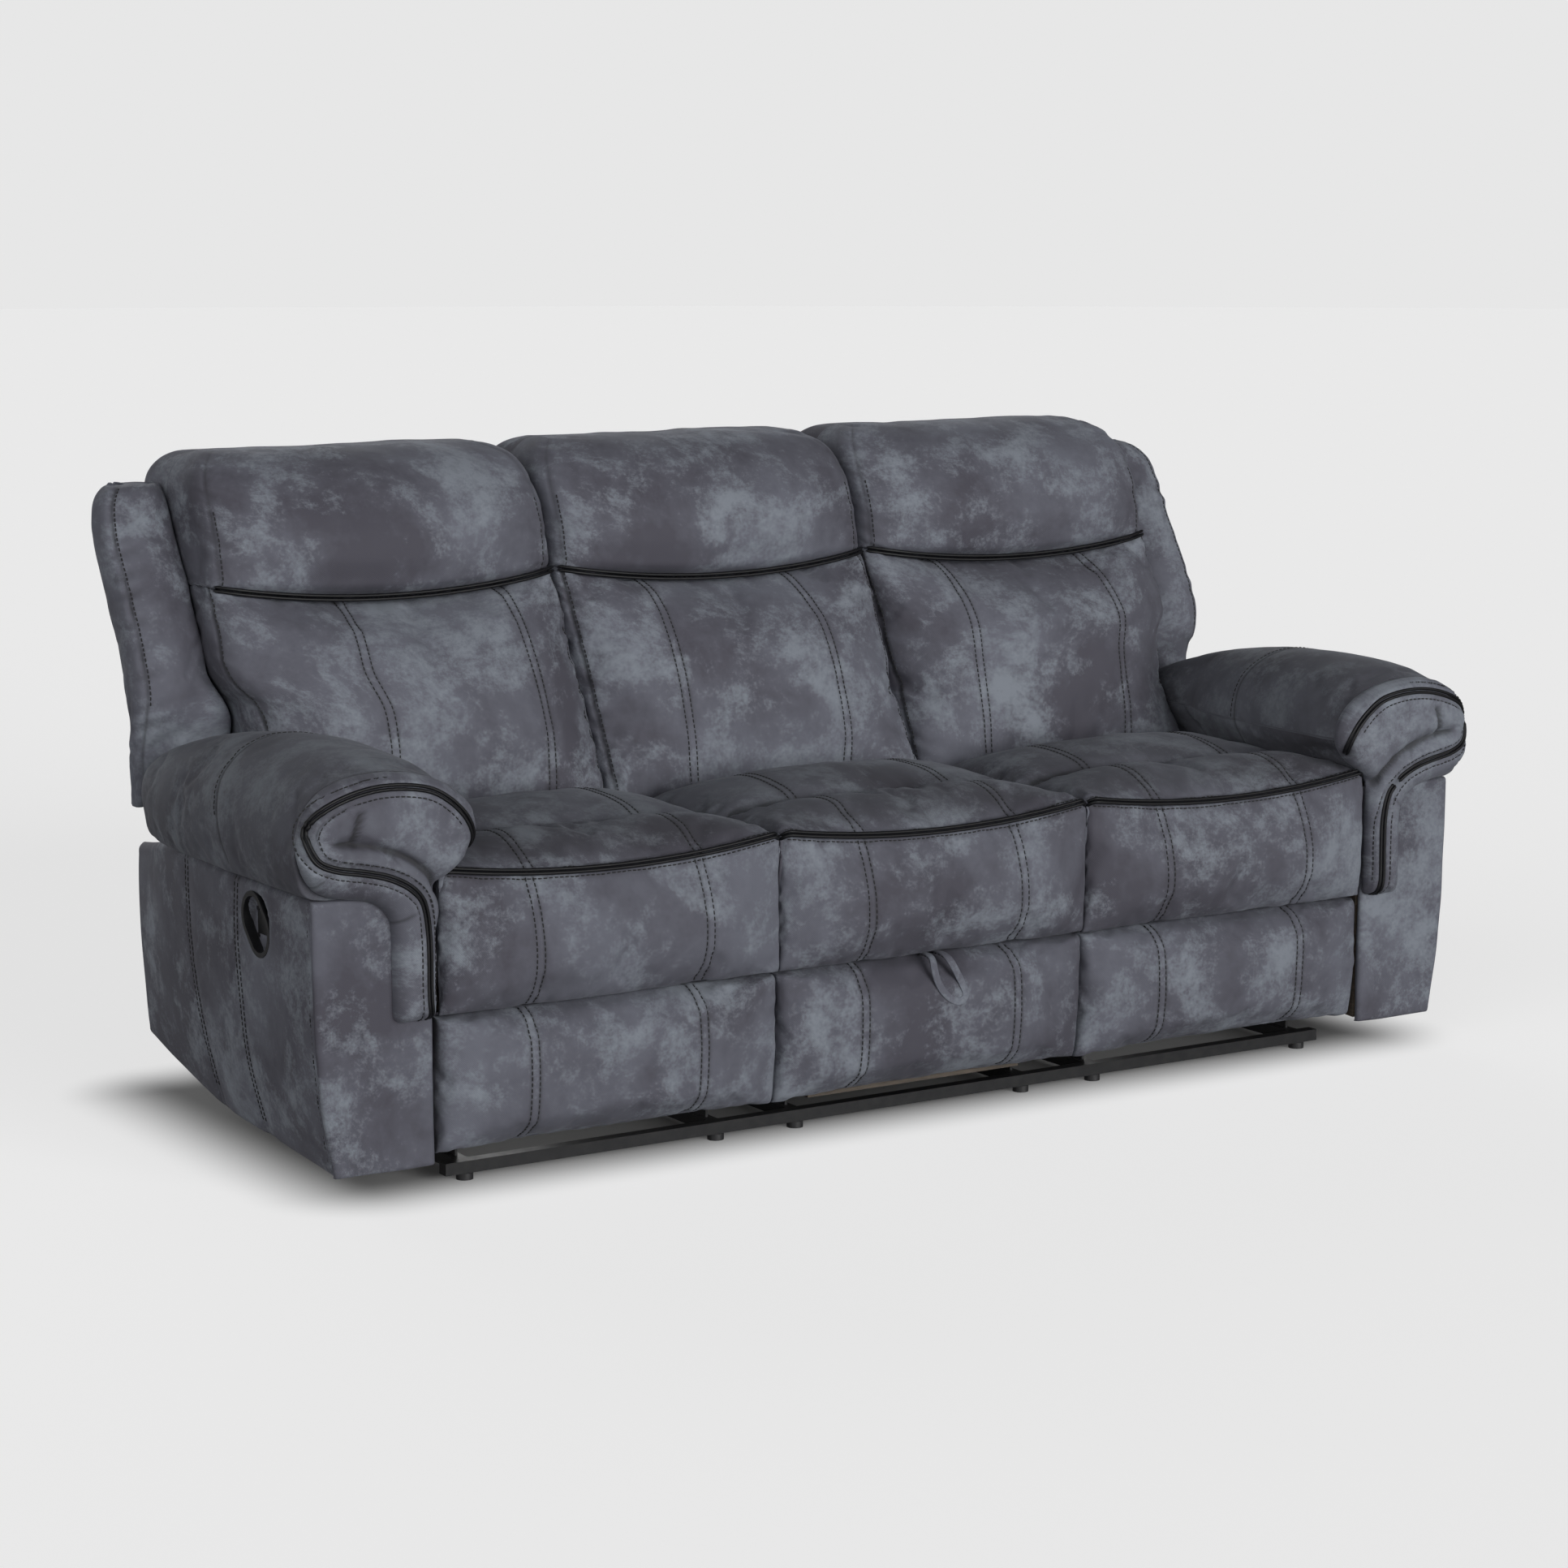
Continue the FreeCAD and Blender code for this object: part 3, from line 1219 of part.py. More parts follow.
for item in doc.Objects:
    if "Invalid" in item.State or "Error" in item.State:
        raise ValueError(f"{item.Label} did not build: {item.State}")
for item in sub_parts:
    if item.Shape.isNull() or not item.Shape.isValid():
        raise ValueError(f"{item.Label} has no valid shape")
    if item.Shape.Volume <= 0:
        raise ValueError(f"{item.Label} has no volume")

os.makedirs("parts", exist_ok=True)
whole = FreeCAD.BoundBox()
for item in sub_parts:
    item.Shape.exportStep(f"parts/{item.Label}.step")
    whole.add(item.Shape.BoundBox)
print(f"{len(sub_parts)} sub-parts, box {whole}")
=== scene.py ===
"""Upholstery, welts, stitching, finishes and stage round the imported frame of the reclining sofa.

Metres, X to the sitter's left hand, Y to the rear, Z up. "left" means the -X side, as in the frame.
A soft piece is a closed grid of points: rows run along the piece, and each row is a ring round it.
The ring starts at the middle of one side, crosses the face to the other side and comes back behind.
The first and last rows are closed: a point of the face meets the point behind it.
"""

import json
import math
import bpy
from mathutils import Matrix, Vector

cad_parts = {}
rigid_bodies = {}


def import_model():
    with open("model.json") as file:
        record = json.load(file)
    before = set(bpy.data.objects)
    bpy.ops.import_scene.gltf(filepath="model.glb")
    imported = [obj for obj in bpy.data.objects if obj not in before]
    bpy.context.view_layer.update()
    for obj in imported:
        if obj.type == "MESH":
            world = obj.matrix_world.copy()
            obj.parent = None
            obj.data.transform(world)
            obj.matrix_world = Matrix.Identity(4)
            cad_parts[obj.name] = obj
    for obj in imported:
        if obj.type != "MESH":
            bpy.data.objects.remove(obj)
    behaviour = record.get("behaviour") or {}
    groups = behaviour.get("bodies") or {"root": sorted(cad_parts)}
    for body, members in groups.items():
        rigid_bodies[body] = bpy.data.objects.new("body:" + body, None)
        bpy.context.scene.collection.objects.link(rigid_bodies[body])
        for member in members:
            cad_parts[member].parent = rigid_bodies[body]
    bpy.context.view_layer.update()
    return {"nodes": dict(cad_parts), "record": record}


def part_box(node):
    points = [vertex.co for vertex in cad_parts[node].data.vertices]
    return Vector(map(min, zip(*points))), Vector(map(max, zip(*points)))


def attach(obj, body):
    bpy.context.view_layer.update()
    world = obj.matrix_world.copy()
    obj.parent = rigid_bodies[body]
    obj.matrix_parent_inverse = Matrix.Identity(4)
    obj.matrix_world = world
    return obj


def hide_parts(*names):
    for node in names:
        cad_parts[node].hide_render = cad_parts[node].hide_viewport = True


bl_info = {
    "name": "Reclining sofa for three",
    "version": (1, 0, 0),
    "blender": (4, 5, 0),
    "location": "View3D > Sidebar > Sofa",
    "description": "Upholstery, welts, stitching and finishes of a reclining sofa",
    "category": "Object",
}

import bmesh
import bpy
import numpy as np
from bpy.props import FloatProperty, FloatVectorProperty, IntProperty, PointerProperty
from mathutils import Vector

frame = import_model()

SIDES = (("left", -1), ("right", 1))
SEATS = (("left", -1), ("centre", 0), ("right", 1))
SEAT_PITCH = 0.56
SEAT_HALF = 0.2785
# Across, of each seat's two twin seams from its middle.
SEAT_SEAMS = (-0.139, 0.139)
# How far the seats' front welt hangs lower in its middle than at its ends.
WELT_SAG = 0.022
ARM_INNER = 0.847
ARM_SEAM = -0.4375
# More than any seam's reach, for the points that a seam leaves out.
FAR = 1.0


class SofaSizes(bpy.types.PropertyGroup):
    coarse: FloatProperty(name="Cloth cells", description="Cells of the simulated cloth",
                          default=0.0125, min=0.006, unit="LENGTH")
    fine: FloatProperty(name="Fine cells", description="Cells of the finished cloth",
                        default=0.0046, min=0.002, unit="LENGTH")
    pressure: FloatProperty(name="Fill", description="Pressure of the filling on the cloth",
                            default=4.0)
    spare: FloatProperty(name="Spare cloth", description="How much larger the cloth is cut",
                         default=0.02, subtype="FACTOR")
    swell: FloatProperty(name="Most swelling", description="Cap on how far the filling moves it",
                         default=0.022, unit="LENGTH")
    frames: IntProperty(name="Cloth frames", description="Steps of the simulation", default=20)
    welt: FloatProperty(name="Welt", description="Radius of each cord of the double welt",
                        default=0.0026, unit="LENGTH")
    welt_apart: FloatProperty(name="Welt cords", description="Between the cords' middles",
                              default=0.0061, unit="LENGTH")
    lip: FloatProperty(name="Stitched lip", description="From a welt's middle to its stitching",
                       default=0.0128, unit="LENGTH")
    twin: FloatProperty(name="Twin seam", description="Half the width between its stitch rows",
                        default=0.0062, unit="LENGTH")
    pitch: FloatProperty(name="Stitch pitch", description="One stitch and its gap",
                         default=0.0084, unit="LENGTH")
    stitch: FloatProperty(name="Stitch", description="Length of a stitch",
                          default=0.0060, unit="LENGTH")
    thread: FloatProperty(name="Thread", description="Radius of the sewing thread",
                          default=0.0010, unit="LENGTH")


def colour(name, text, value):
    return FloatVectorProperty(name=name, description=text, default=value, size=3,
                               subtype="COLOR", min=0.0, max=1.0)


class SofaColours(bpy.types.PropertyGroup):
    dark: colour("Cloth, dark", "Worn purple grey of the upholstery", (0.058, 0.056, 0.071))
    middle: colour("Cloth, middle", "Slate grey of the upholstery", (0.112, 0.116, 0.142))
    light: colour("Cloth, light", "Blue grey bloom of the upholstery", (0.190, 0.210, 0.240))
    welt: colour("Welts", "Black cord of the welts", (0.004, 0.004, 0.005))
    thread: colour("Thread", "Black sewing thread", (0.008, 0.008, 0.009))
    steel: colour("Steel", "Black lacquered mechanism", (0.007, 0.007, 0.008))
    zinc: colour("Cable", "Sleeve of the release cables", (0.02, 0.02, 0.02))
    wood: colour("Plywood", "Face veneer of the boards", (0.075, 0.060, 0.046))
    web: colour("Webbing", "Sprung webbing under the seats", (0.05, 0.045, 0.04))
    plastic: colour("Plastic", "Latch cups and glide feet", (0.008, 0.008, 0.009))
    backdrop: colour("Backdrop", "Pale grey behind the sofa", (0.799, 0.799, 0.799))
    paper: FloatProperty(name="Floor glow", description="Light the paper floor adds where seen",
                         default=0.648, min=0.0, max=1.0)


def sizes():
    return bpy.context.scene.sofa_sizes


def colours():
    return bpy.context.scene.sofa_colours


def through(values, at, closed=False):
    """Rows read at fractional row numbers, on the Catmull-Rom cubic through them: at each row its
    slope is half the step from the row before to the row after."""
    count = len(values)
    cell = np.floor(at).astype(int)
    if closed:
        share = at - cell
        a, b, c, e = (values[(cell + k) % count] for k in (-1, 0, 1, 2))
    else:
        cell = np.clip(cell, 0, count - 2)
        share = at - cell
        ends = np.concatenate([2 * values[:1] - values[1:2], values,
                               2 * values[-1:] - values[-2:-1]])
        a, b, c, e = (ends[cell + k] for k in range(4))
    share = share.reshape((-1,) + (1,) * (values.ndim - 1))
    return b + 0.5 * share * (c - a + share * (2 * a - 5 * b + 4 * c - e
                                               + share * (3 * (b - c) + e - a)))


def lengths(line):
    """Length along a line of points, from its start to each point."""
    steps = np.linalg.norm(np.diff(line, axis=0), axis=1)
    return np.concatenate([[0.0], np.cumsum(steps)])


def evenly(stops, step, shape=None):
    """Rows of numbers on the smooth curve through the stops, a step apart along the line that
    shape, the first two columns if not given, draws."""
    stops = np.array(stops, float)
    count = len(stops) - 1
    dense = through(stops, np.linspace(0, count, count * 40 + 1))
    along = lengths(dense[:, :2] if shape is None else shape(dense))
    cells = max(4, int(round(along[-1] / step)))
    wanted = np.linspace(0, along[-1], cells + 1)
    return np.stack([np.interp(wanted, along, column) for column in dense.T], 1)


def read(grid, rows, ring):
    """The grid's numbers at fractional row and ring numbers, straight between its points; the
    ring numbers wrap round."""
    count, around = grid.shape[:2]
    r = np.clip(np.floor(rows).astype(int), 0, count - 2)
    c = np.floor(ring).astype(int)
    v, u = rows - r, ring - c
    if grid.ndim == 3:
        v, u = v[:, None], u[:, None]
    near, far = c % around, (c + 1) % around
    return ((grid[r, near] * (1 - u) + grid[r, far] * u) * (1 - v)
            + (grid[r + 1, near] * (1 - u) + grid[r + 1, far] * u) * v)


def finer(grid, step):
    """A closed grid made finer with Catmull-Rom cubics along its rows and round its rings, and
    the old row and ring numbers of its new rows and rings."""
    length = lengths(grid[:, grid.shape[1] // 4])[-1]
    middle = grid[len(grid) // 2]
    girth = lengths(np.concatenate([middle, middle[:1]]))[-1]
    rows = np.linspace(0, len(grid) - 1, max(len(grid), int(length / step)) + 1)
    half = max(grid.shape[1] // 2, int(girth / step / 2))
    ring = np.arange(2 * half) * grid.shape[1] / (2 * half)
    tall = through(grid, rows)
    wide = through(tall.swapaxes(0, 1), ring, closed=True).swapaxes(0, 1)
    return closed(wide), rows, ring


def outward(grid):
    """Unit normals of a closed grid, from the cross product of the steps along and round it."""
    along = np.gradient(grid, axis=0)
    around = np.roll(grid, -1, 1) - np.roll(grid, 1, 1)
    normal = np.cross(around, along)
    normal /= np.maximum(np.linalg.norm(normal, axis=2, keepdims=True), 1e-12)
    middle = grid.mean((0, 1))
    side = np.sum(normal[1:-1] * (grid[1:-1] - middle), 2).sum()
    normal = normal if side > 0 else -normal
    normal[0], normal[-1] = normal[1], normal[-2]
    return normal


def softened(field, rounds):
    """A field on a closed grid, each point blended with its four neighbours, again and again."""
    for _ in range(rounds):
        tall = np.concatenate([field[:1], field, field[-1:]])
        field = (field * 2 + tall[:-2] + tall[2:] + np.roll(field, 1, 1)
                 + np.roll(field, -1, 1)) / 6
    return field


def chance(cells, seed):
    """A number from 0 to 1 for each whole-numbered cell, the same on every run: the broken part
    of a large sine."""
    return np.sin(cells @ np.array([12.9898, 78.233, 37.719]) + seed * 5.37) * 43758.5453 % 1.0


def wander(points, size, seed):
    """Smooth noise from -1 to 1: chance numbers on a lattice of that cell size, blended between
    the eight corners of each cell by 3t^2 - 2t^3."""
    place = np.asarray(points) / size
    if place.shape[-1] == 2:
        place = np.concatenate([place, np.zeros(place.shape[:-1] + (1,))], -1)
    cell = np.floor(place)
    t = place - cell
    t = t * t * (3 - 2 * t)
    total = 0.0
    for dx in (0, 1):
        for dy in (0, 1):
            for dz in (0, 1):
                weight = ((t[..., 0] if dx else 1 - t[..., 0])
                          * (t[..., 1] if dy else 1 - t[..., 1])
                          * (t[..., 2] if dz else 1 - t[..., 2]))
                total = total + weight * chance(cell + (dx, dy, dz), seed)
    return 2 * total - 1


def bump(distance, width):
    """A bell curve of that half width."""
    return np.exp(-(distance / width) ** 2)


def to_line(points, line):
    """Distance of each point from a line of points, and the length along the line to the nearest
    place: each point is dropped on every straight run, and the nearest foot counts."""
    line = np.asarray(line, float)
    start, run = line[:-1], np.diff(line, axis=0)
    along = lengths(line)
    flat = points.reshape(-1, points.shape[-1])
    share = np.clip(((flat[:, None] - start) * run).sum(2) / (run ** 2).sum(1), 0, 1)
    gap = np.linalg.norm(flat[:, None] - (start + share[..., None] * run), axis=2)
    best = gap.argmin(1)
    pick = np.arange(len(flat))
    length = along[best] + share[pick, best] * np.diff(along)[best]
    return gap[pick, best].reshape(points.shape[:-1]), length.reshape(points.shape[:-1])


def signed_volume(points, quads):
    a, b, c, e = (points[quads[:, k]] for k in range(4))
    return (np.sum(a * np.cross(b, c)) + np.sum(a * np.cross(c, e))) / 6


def mesh_of(name, points, quads, attributes=()):
    """A mesh object from points and four-cornered faces, all at once, faces turned outwards."""
    if signed_volume(points - points.mean(0), quads) < 0:
        quads = quads[:, ::-1]
    mesh = bpy.data.meshes.new(name)
    mesh.vertices.add(len(points))
    mesh.vertices.foreach_set("co", points.astype(np.float32).ravel())
    mesh.loops.add(quads.size)
    mesh.loops.foreach_set("vertex_index", quads.astype(np.int32).ravel())
    mesh.polygons.add(len(quads))
    mesh.polygons.foreach_set("loop_start", np.arange(0, quads.size, 4, dtype=np.int32))
    for label, kind, values in attributes:
        field = "vector" if kind == "FLOAT_VECTOR" else "value"
        data = mesh.attributes.new(label, kind, "POINT").data
        data.foreach_set(field, values.astype(np.float32).ravel())
    mesh.update(calc_edges=True)
    mesh.shade_smooth()
    thing = bpy.data.objects.new(name, mesh)
    bpy.context.scene.collection.objects.link(thing)
    return thing


def face_out(thing):
    """Turns every face of a mesh of closed shells outwards."""
    work = bmesh.new()
    work.from_mesh(thing.data)
    bmesh.ops.recalc_face_normals(work, faces=work.faces)
    work.to_mesh(thing.data)
    work.free()


def ring_index(rows, around):
    """Point numbers of a closed grid, with the first and last rows closed on themselves, and the
    grid places that the numbers stand for."""
    index = np.arange(rows * around).reshape(rows, around)
    ring = np.arange(around)
    shared = np.minimum(ring, (-ring) % around)
    for end in (0, -1):
        index[end] = index[end][shared]
    kept, again = np.unique(index.ravel(), return_inverse=True)
    return again.reshape(rows, around), kept


def grid_quads(index):
    """Faces of a grid of point numbers whose rings wrap round."""
    turned = np.roll(index, -1, 1)
    return np.stack([index[:-1], turned[:-1], turned[1:], index[1:]], -1).reshape(-1, 4)


def grid_object(name, grid, attributes=()):
    index, kept = ring_index(*grid.shape[:2])
    listed = [(label, kind, values.reshape(grid.shape[0] * grid.shape[1], -1)[kept])
              for label, kind, values in attributes]
    return mesh_of(name, grid.reshape(-1, 3)[kept], grid_quads(index), listed)


def cloth_frames(name, grid, held, spare, swell):
    """The grid after its cloth, cut larger by spare, has been blown up by the filling with its
    held points pinned. No point moves further than swell."""
    thing = grid_object(name, grid)
    index, kept = ring_index(*grid.shape[:2])
    group = thing.vertex_groups.new(name="held")
    weights = held.ravel()[kept]
    for level in np.unique(np.round(weights, 2)):
        if level > 0:
            members = np.flatnonzero(np.round(weights, 2) == level)
            group.add(members.tolist(), float(level), "REPLACE")
    cloth = thing.modifiers.new("cloth", "CLOTH")
    cloth.settings.quality = 5
    cloth.settings.mass = 0.3
    cloth.settings.tension_stiffness = 20
    cloth.settings.compression_stiffness = 20
    cloth.settings.shear_stiffness = 8
    cloth.settings.bending_stiffness = 1.5
    cloth.settings.air_damping = 2
    cloth.settings.use_pressure = True
    cloth.settings.uniform_pressure_force = sizes().pressure
    cloth.settings.shrink_min = -spare
    cloth.settings.vertex_group_mass = "held"
    cloth.settings.effector_weights.gravity = 0
    cloth.collision_settings.use_collision = False
    cloth.collision_settings.use_self_collision = False
    cloth.point_cache.frame_start = 1
    cloth.point_cache.frame_end = sizes().frames
    scene = bpy.context.scene
    for number in range(1, sizes().frames + 1):
        scene.frame_set(number)
    depsgraph = bpy.context.evaluated_depsgraph_get()
    settled = thing.evaluated_get(depsgraph)
    points = np.empty(len(kept) * 3, np.float32)
    settled.data.vertices.foreach_get("co", points)
    mesh = thing.data
    bpy.data.objects.remove(thing)
    bpy.data.meshes.remove(mesh)
    scene.frame_set(1)
    move = points.reshape(-1, 3)[index] - grid
    reach = np.linalg.norm(move, axis=2, keepdims=True)
    return grid + move * np.minimum(1, swell / np.maximum(reach, 1e-9))


def box_ring(width, depth, front_round, rear_round, step):
    """Shares across (-1 to 1) and in depth (0 face, 1 back) round a box section with rounded
    corners: half of the points over the face, half behind, each half evenly spaced."""
    def half(radius, across, front, middle):
        turn = np.linspace(0, math.pi / 2, 9)
        first = np.stack([-across + radius * (1 - np.cos(turn)),
                          front + (radius * (1 - np.sin(turn)) * np.sign(middle - front))], 1)
        line = np.concatenate([[(-across, middle)], first, first[::-1] * (-1, 1),
                               [(across, middle)]])
        along = lengths(line)
        cells = int(round(along[-1] / step))
        wanted = np.linspace(0, along[-1], cells + 1)
        return np.stack([np.interp(wanted, along, column) for column in line.T], 1)

    across, middle = width / 2, depth / 2
    face = half(front_round, across, 0.0, middle)
    rear = half(rear_round, across, depth, middle)
    places = np.linspace(0, len(rear) - 1, len(face))
    rear = np.stack([np.interp(places, np.arange(len(rear)), column) for column in rear.T], 1)
    ring = np.concatenate([face[:-1], rear[:0:-1]])
    return ring[:, 0] / across, ring[:, 1] / depth


def slab(stops, ring, step, power):
    """A pad's closed grid from stops of: place along, face, back, low edge, high edge, crown.
    Across a row the face stands forward by crown times 1 - |share across| ^ power."""
    rows = evenly(stops, step, lambda dense: np.stack([dense[:, 0], dense[:, 1] - dense[:, 5]], 1))
    along, face, back, low, high, crown = (column[:, None] for column in rows.T)
    across, depth = ring
    grid = np.stack(np.broadcast_arrays(
        (low + high) / 2 + (high - low) / 2 * across,
        face + (back - face) * depth
        - crown * (1 - np.abs(across) ** power) * np.clip(1 - 2 * depth, 0, 1) ** 0.5,
        along), -1)
    return closed(grid)


def closed(grid):
    """The grid with its first and last rows pressed flat, so that they can close."""
    back = (-np.arange(grid.shape[1])) % grid.shape[1]
    for end in (0, -1):
        grid[end] = (grid[end] + grid[end][back]) / 2
    return grid


def section_rings(controls, turn, step):
    """Closed smooth rings through each row's control points, half of their points before control
    number turn and half after it, evenly spaced on the middle row."""
    count = controls.shape[1]
    places = np.linspace(0, count, count * 30 + 1)
    along = lengths(through(controls[len(controls) // 2], places, closed=True))
    split = np.interp(turn, places, along)
    half = int(along[-1] / step / 2)
    wanted = np.concatenate([np.linspace(0, split, half + 1)[:-1],
                             np.linspace(split, along[-1], half + 1)[:-1]])
    at = np.interp(wanted, along, places)
    return through(controls.swapaxes(0, 1), at, closed=True).swapaxes(0, 1)


def ease(value, low, high):
    """0 below low, 1 above high, and 3t^2 - 2t^3 between them."""
    t = np.clip((value - low) / (high - low), 0, 1)
    return t * t * (3 - 2 * t)


# Points on a seam's line before its stitches are spaced along it.
SEAM_POINTS = 90
# Shade of the cloth for each metre that a point lies deeper than its surroundings.
HOLLOW_SHADE = 220


class Pad:
    """A soft piece on its way: its grid, what its cloth coordinates are, its relief."""

    def __init__(self, name, grid):
        self.name = name
        self.grid = grid
        around = grid.shape[1]
        middle = grid[int(len(grid) * 0.45)]
        self.girth = lengths(np.concatenate([middle, middle[:1]]))
        self.length = lengths(grid[:, around // 4])
        self.across = (self.girth[:-1] - self.girth[around // 4])[None, :]
        self.along = self.length[:, None]
        self.back = (np.arange(around) > around / 2 + 1)[None, :]

    def fill(self, held, spare=None, swell=None):
        spare = sizes().spare if spare is None else spare
        swell = sizes().swell if swell is None else swell
        self.grid = cloth_frames(self.name + "_cloth", self.grid, held, spare, swell)
        return self

    def refine(self, step=None):
        """Makes the grid fine and gives each point its cloth coordinates: length round the ring
        from the middle of the face, and length along the face from the first row."""
        around = self.grid.shape[1]
        self.grid, self.rows, self.ring = finer(self.grid, step or sizes().fine)
        across = np.interp(self.ring, np.arange(around + 1), self.girth)
        across -= self.girth[around // 4]
        along = np.interp(self.rows, np.arange(len(self.length)), self.length)
        self.cloth = np.stack(np.broadcast_arrays(across[None, :], along[:, None]), -1)
        self.across, self.along = self.cloth[..., 0], self.cloth[..., 1]
        self.relief = np.zeros(self.grid.shape[:2])
        self.shade = np.zeros(self.grid.shape[:2])
        self.normal = outward(self.grid)
        return self

    def undulate(self, height, size, seed):
        """Slow hills of the filling, from noise on the points' own places."""
        self.relief += height * wander(self.grid, size, seed)
        return self

    def pinch(self, distance, along, height, reach, size, seed):
        """Puckers that run away from a seam: noise that is fine along it and slow across it,
        fading with the distance."""
        place = np.stack([along / size, distance / (size * 5)], -1)
        fade = np.exp(-(distance / reach) ** 1.5) * np.clip(distance / 0.005, 0, 1)
        self.relief += height * fade * wander(place, 1.0, seed)
        return self

    def groove(self, distance, depth, width, shade=0.5):
        self.relief -= depth * bump(distance, width)
        self.shade += shade * bump(distance, width * 1.3)
        return self

    def twin(self, distance):
        """A strip between two stitch rows stands a little proud, and each row lies in a groove with
        painted shade along it.
        """
        half = sizes().twin
        self.relief += 0.0009 * np.exp(-(distance / half) ** 6)
        self.groove(np.abs(distance) - half, 0.0011, 0.0016, 0.35)
        self.relief -= 0.0022 * bump(distance, half * 3)
        return self

    def finish(self, body, nodes, fill, material):
        """The finished piece: relief along the normals, cloth coordinates for the pattern, and a
        field of painted shade in its hollows, seams and grooves and of painted highlight on its
        crests.
        """
        self.relief[0] = self.relief[1]
        self.relief[-1] = self.relief[-2]
        self.grid = closed(self.grid + self.normal * self.relief[..., None])
        self.normal = outward(self.grid)
        # Painted shade where the cloth lies deeper than its surroundings and painted highlight
        # where it stands proud, added to the painted shade of its seams and grooves.
        hollow = softened(self.relief, 10) - self.relief
        dark = np.clip(self.shade + hollow * HOLLOW_SHADE, -1, 1)
        seed = sum(ord(letter) * (k + 3) for k, letter in enumerate(self.name)) % 97
        cloth = np.concatenate([self.cloth + (seed * 0.731, seed * 0.377),
                                np.full(self.cloth.shape[:2] + (1,), seed * 0.17)], -1)
        thing = grid_object(self.name, self.grid, (("cloth", "FLOAT_VECTOR", cloth),
                                                   ("hollow", "FLOAT", dark)))
        thing.data.materials.append(material)
        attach(thing, body)
        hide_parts(*nodes)
        return thing

    def ring_at(self, across):
        """Ring numbers of the face where the length across is the one asked for."""
        half = self.grid.shape[1] // 2
        return np.interp(across, self.across[0, :half], np.arange(half))

    def row_at(self, along):
        return np.interp(along, self.along[:, 0], np.arange(len(self.rows)))

    def line(self, across, along):
        """Points and normals of a line on the finished face, from its cloth coordinates."""
        rows, ring = self.row_at(along), self.ring_at(across)
        normal = read(self.normal, rows, ring)
        normal /= np.linalg.norm(normal, axis=1, keepdims=True)
        return read(self.grid, rows, ring), normal


def spaced(points, normals, step):
    """A line's points and normals, evenly a step apart."""
    along = lengths(points)
    count = max(2, int(along[-1] / step))
    wanted = np.linspace(0, along[-1], count + 1)
    placed = [np.stack([np.interp(wanted, along, column) for column in values.T], 1)
              for values in (points, normals)]
    placed[1] /= np.linalg.norm(placed[1], axis=1, keepdims=True)
    return placed


def stitches(name, body, lines, material):
    """Threads on lines of points and normals: each stitch is a short six-sided spindle, laid
    along the line and half sunk in the cloth."""
    pitch, length, radius = sizes().pitch, sizes().stitch, sizes().thread
    turn = np.arange(6) * math.pi / 3
    ends = np.array([-0.5, -0.38, 0.38, 0.5]) * length
    thick = np.array([0.25, 1.0, 1.0, 0.25]) * radius
    spindle = np.stack([np.repeat(ends, 6), np.outer(thick, np.cos(turn)).ravel(),
                        np.outer(thick, np.sin(turn)).ravel()], 1)
    cells = grid_quads(np.arange(24).reshape(4, 6))
    caps = np.array([[0, 1, 2, 3], [0, 3, 4, 5], [21, 20, 19, 18], [23, 22, 21, 18]])
    cells = np.concatenate([cells, caps])
    points, quads, total = [], [], 0
    for line, normals in lines:
        place, up = spaced(line, normals, pitch)
        run = np.diff(place, axis=0)
        run /= np.maximum(np.linalg.norm(run, axis=1, keepdims=True), 1e-9)
        place, up = (place[1:] + place[:-1]) / 2, up[1:]
        side = np.cross(run, up)
        frames = np.stack([run, side, up], 1)
        made = place[:, None] + spindle @ frames + up[:, None] * radius * 0.35
        points.append(made.reshape(-1, 3))
        shift = total + np.arange(len(place))[:, None, None] * len(spindle)
        quads.append((cells[None] + shift).reshape(-1, 4))
        total += made.shape[0] * len(spindle)
    thing = mesh_of(name, np.concatenate(points), np.concatenate(quads))
    face_out(thing)
    thing.data.materials.append(material)
    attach(thing, body)
    return thing


def tube_grid(line, normals, radius, shift, lift):
    """A cord beside a line: rings of that radius, moved sideways by shift and up by lift, with
    closed ends."""
    run = np.gradient(line, axis=0)
    run /= np.linalg.norm(run, axis=1, keepdims=True)
    side = np.cross(run, normals)
    side /= np.linalg.norm(side, axis=1, keepdims=True)
    up = np.cross(side, run)
    centre = line + side * shift + up * lift
    turn = np.arange(10) * math.pi / 5
    thick = np.full(len(line), radius)
    thick[[0, -1]] = radius * 0.15
    thick[[1, -2]] = radius * 0.8
    return (centre[:, None] + thick[:, None, None] * (
        side[:, None] * np.cos(turn)[:, None] + up[:, None] * np.sin(turn)[:, None]))


def welts(name, body, lines, material):
    """The double welt: two black cords side by side along each line."""
    points, quads, total = [], [], 0
    radius, half = sizes().welt, sizes().welt_apart / 2
    for line, normals in lines:
        line, normals = spaced(line, normals, 0.004)
        for shift in (-half, half):
            grid = tube_grid(line, normals, radius, shift, radius * 0.35)
            index = np.arange(grid.shape[0] * 10).reshape(-1, 10) + total
            quads.append(grid_quads(index))
            for end in (index[0], index[-1]):
                quads.append(np.stack([end[[0, 1, 2, 3]], end[[0, 3, 4, 5]],
                                       end[[0, 5, 6, 7]], end[[0, 7, 8, 9]]]))
            points.append(grid.reshape(-1, 3))
            total += grid.shape[0] * 10
    thing = mesh_of(name, np.concatenate(points), np.concatenate(quads))
    face_out(thing)
    thing.data.materials.append(material)
    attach(thing, body)
    return thing


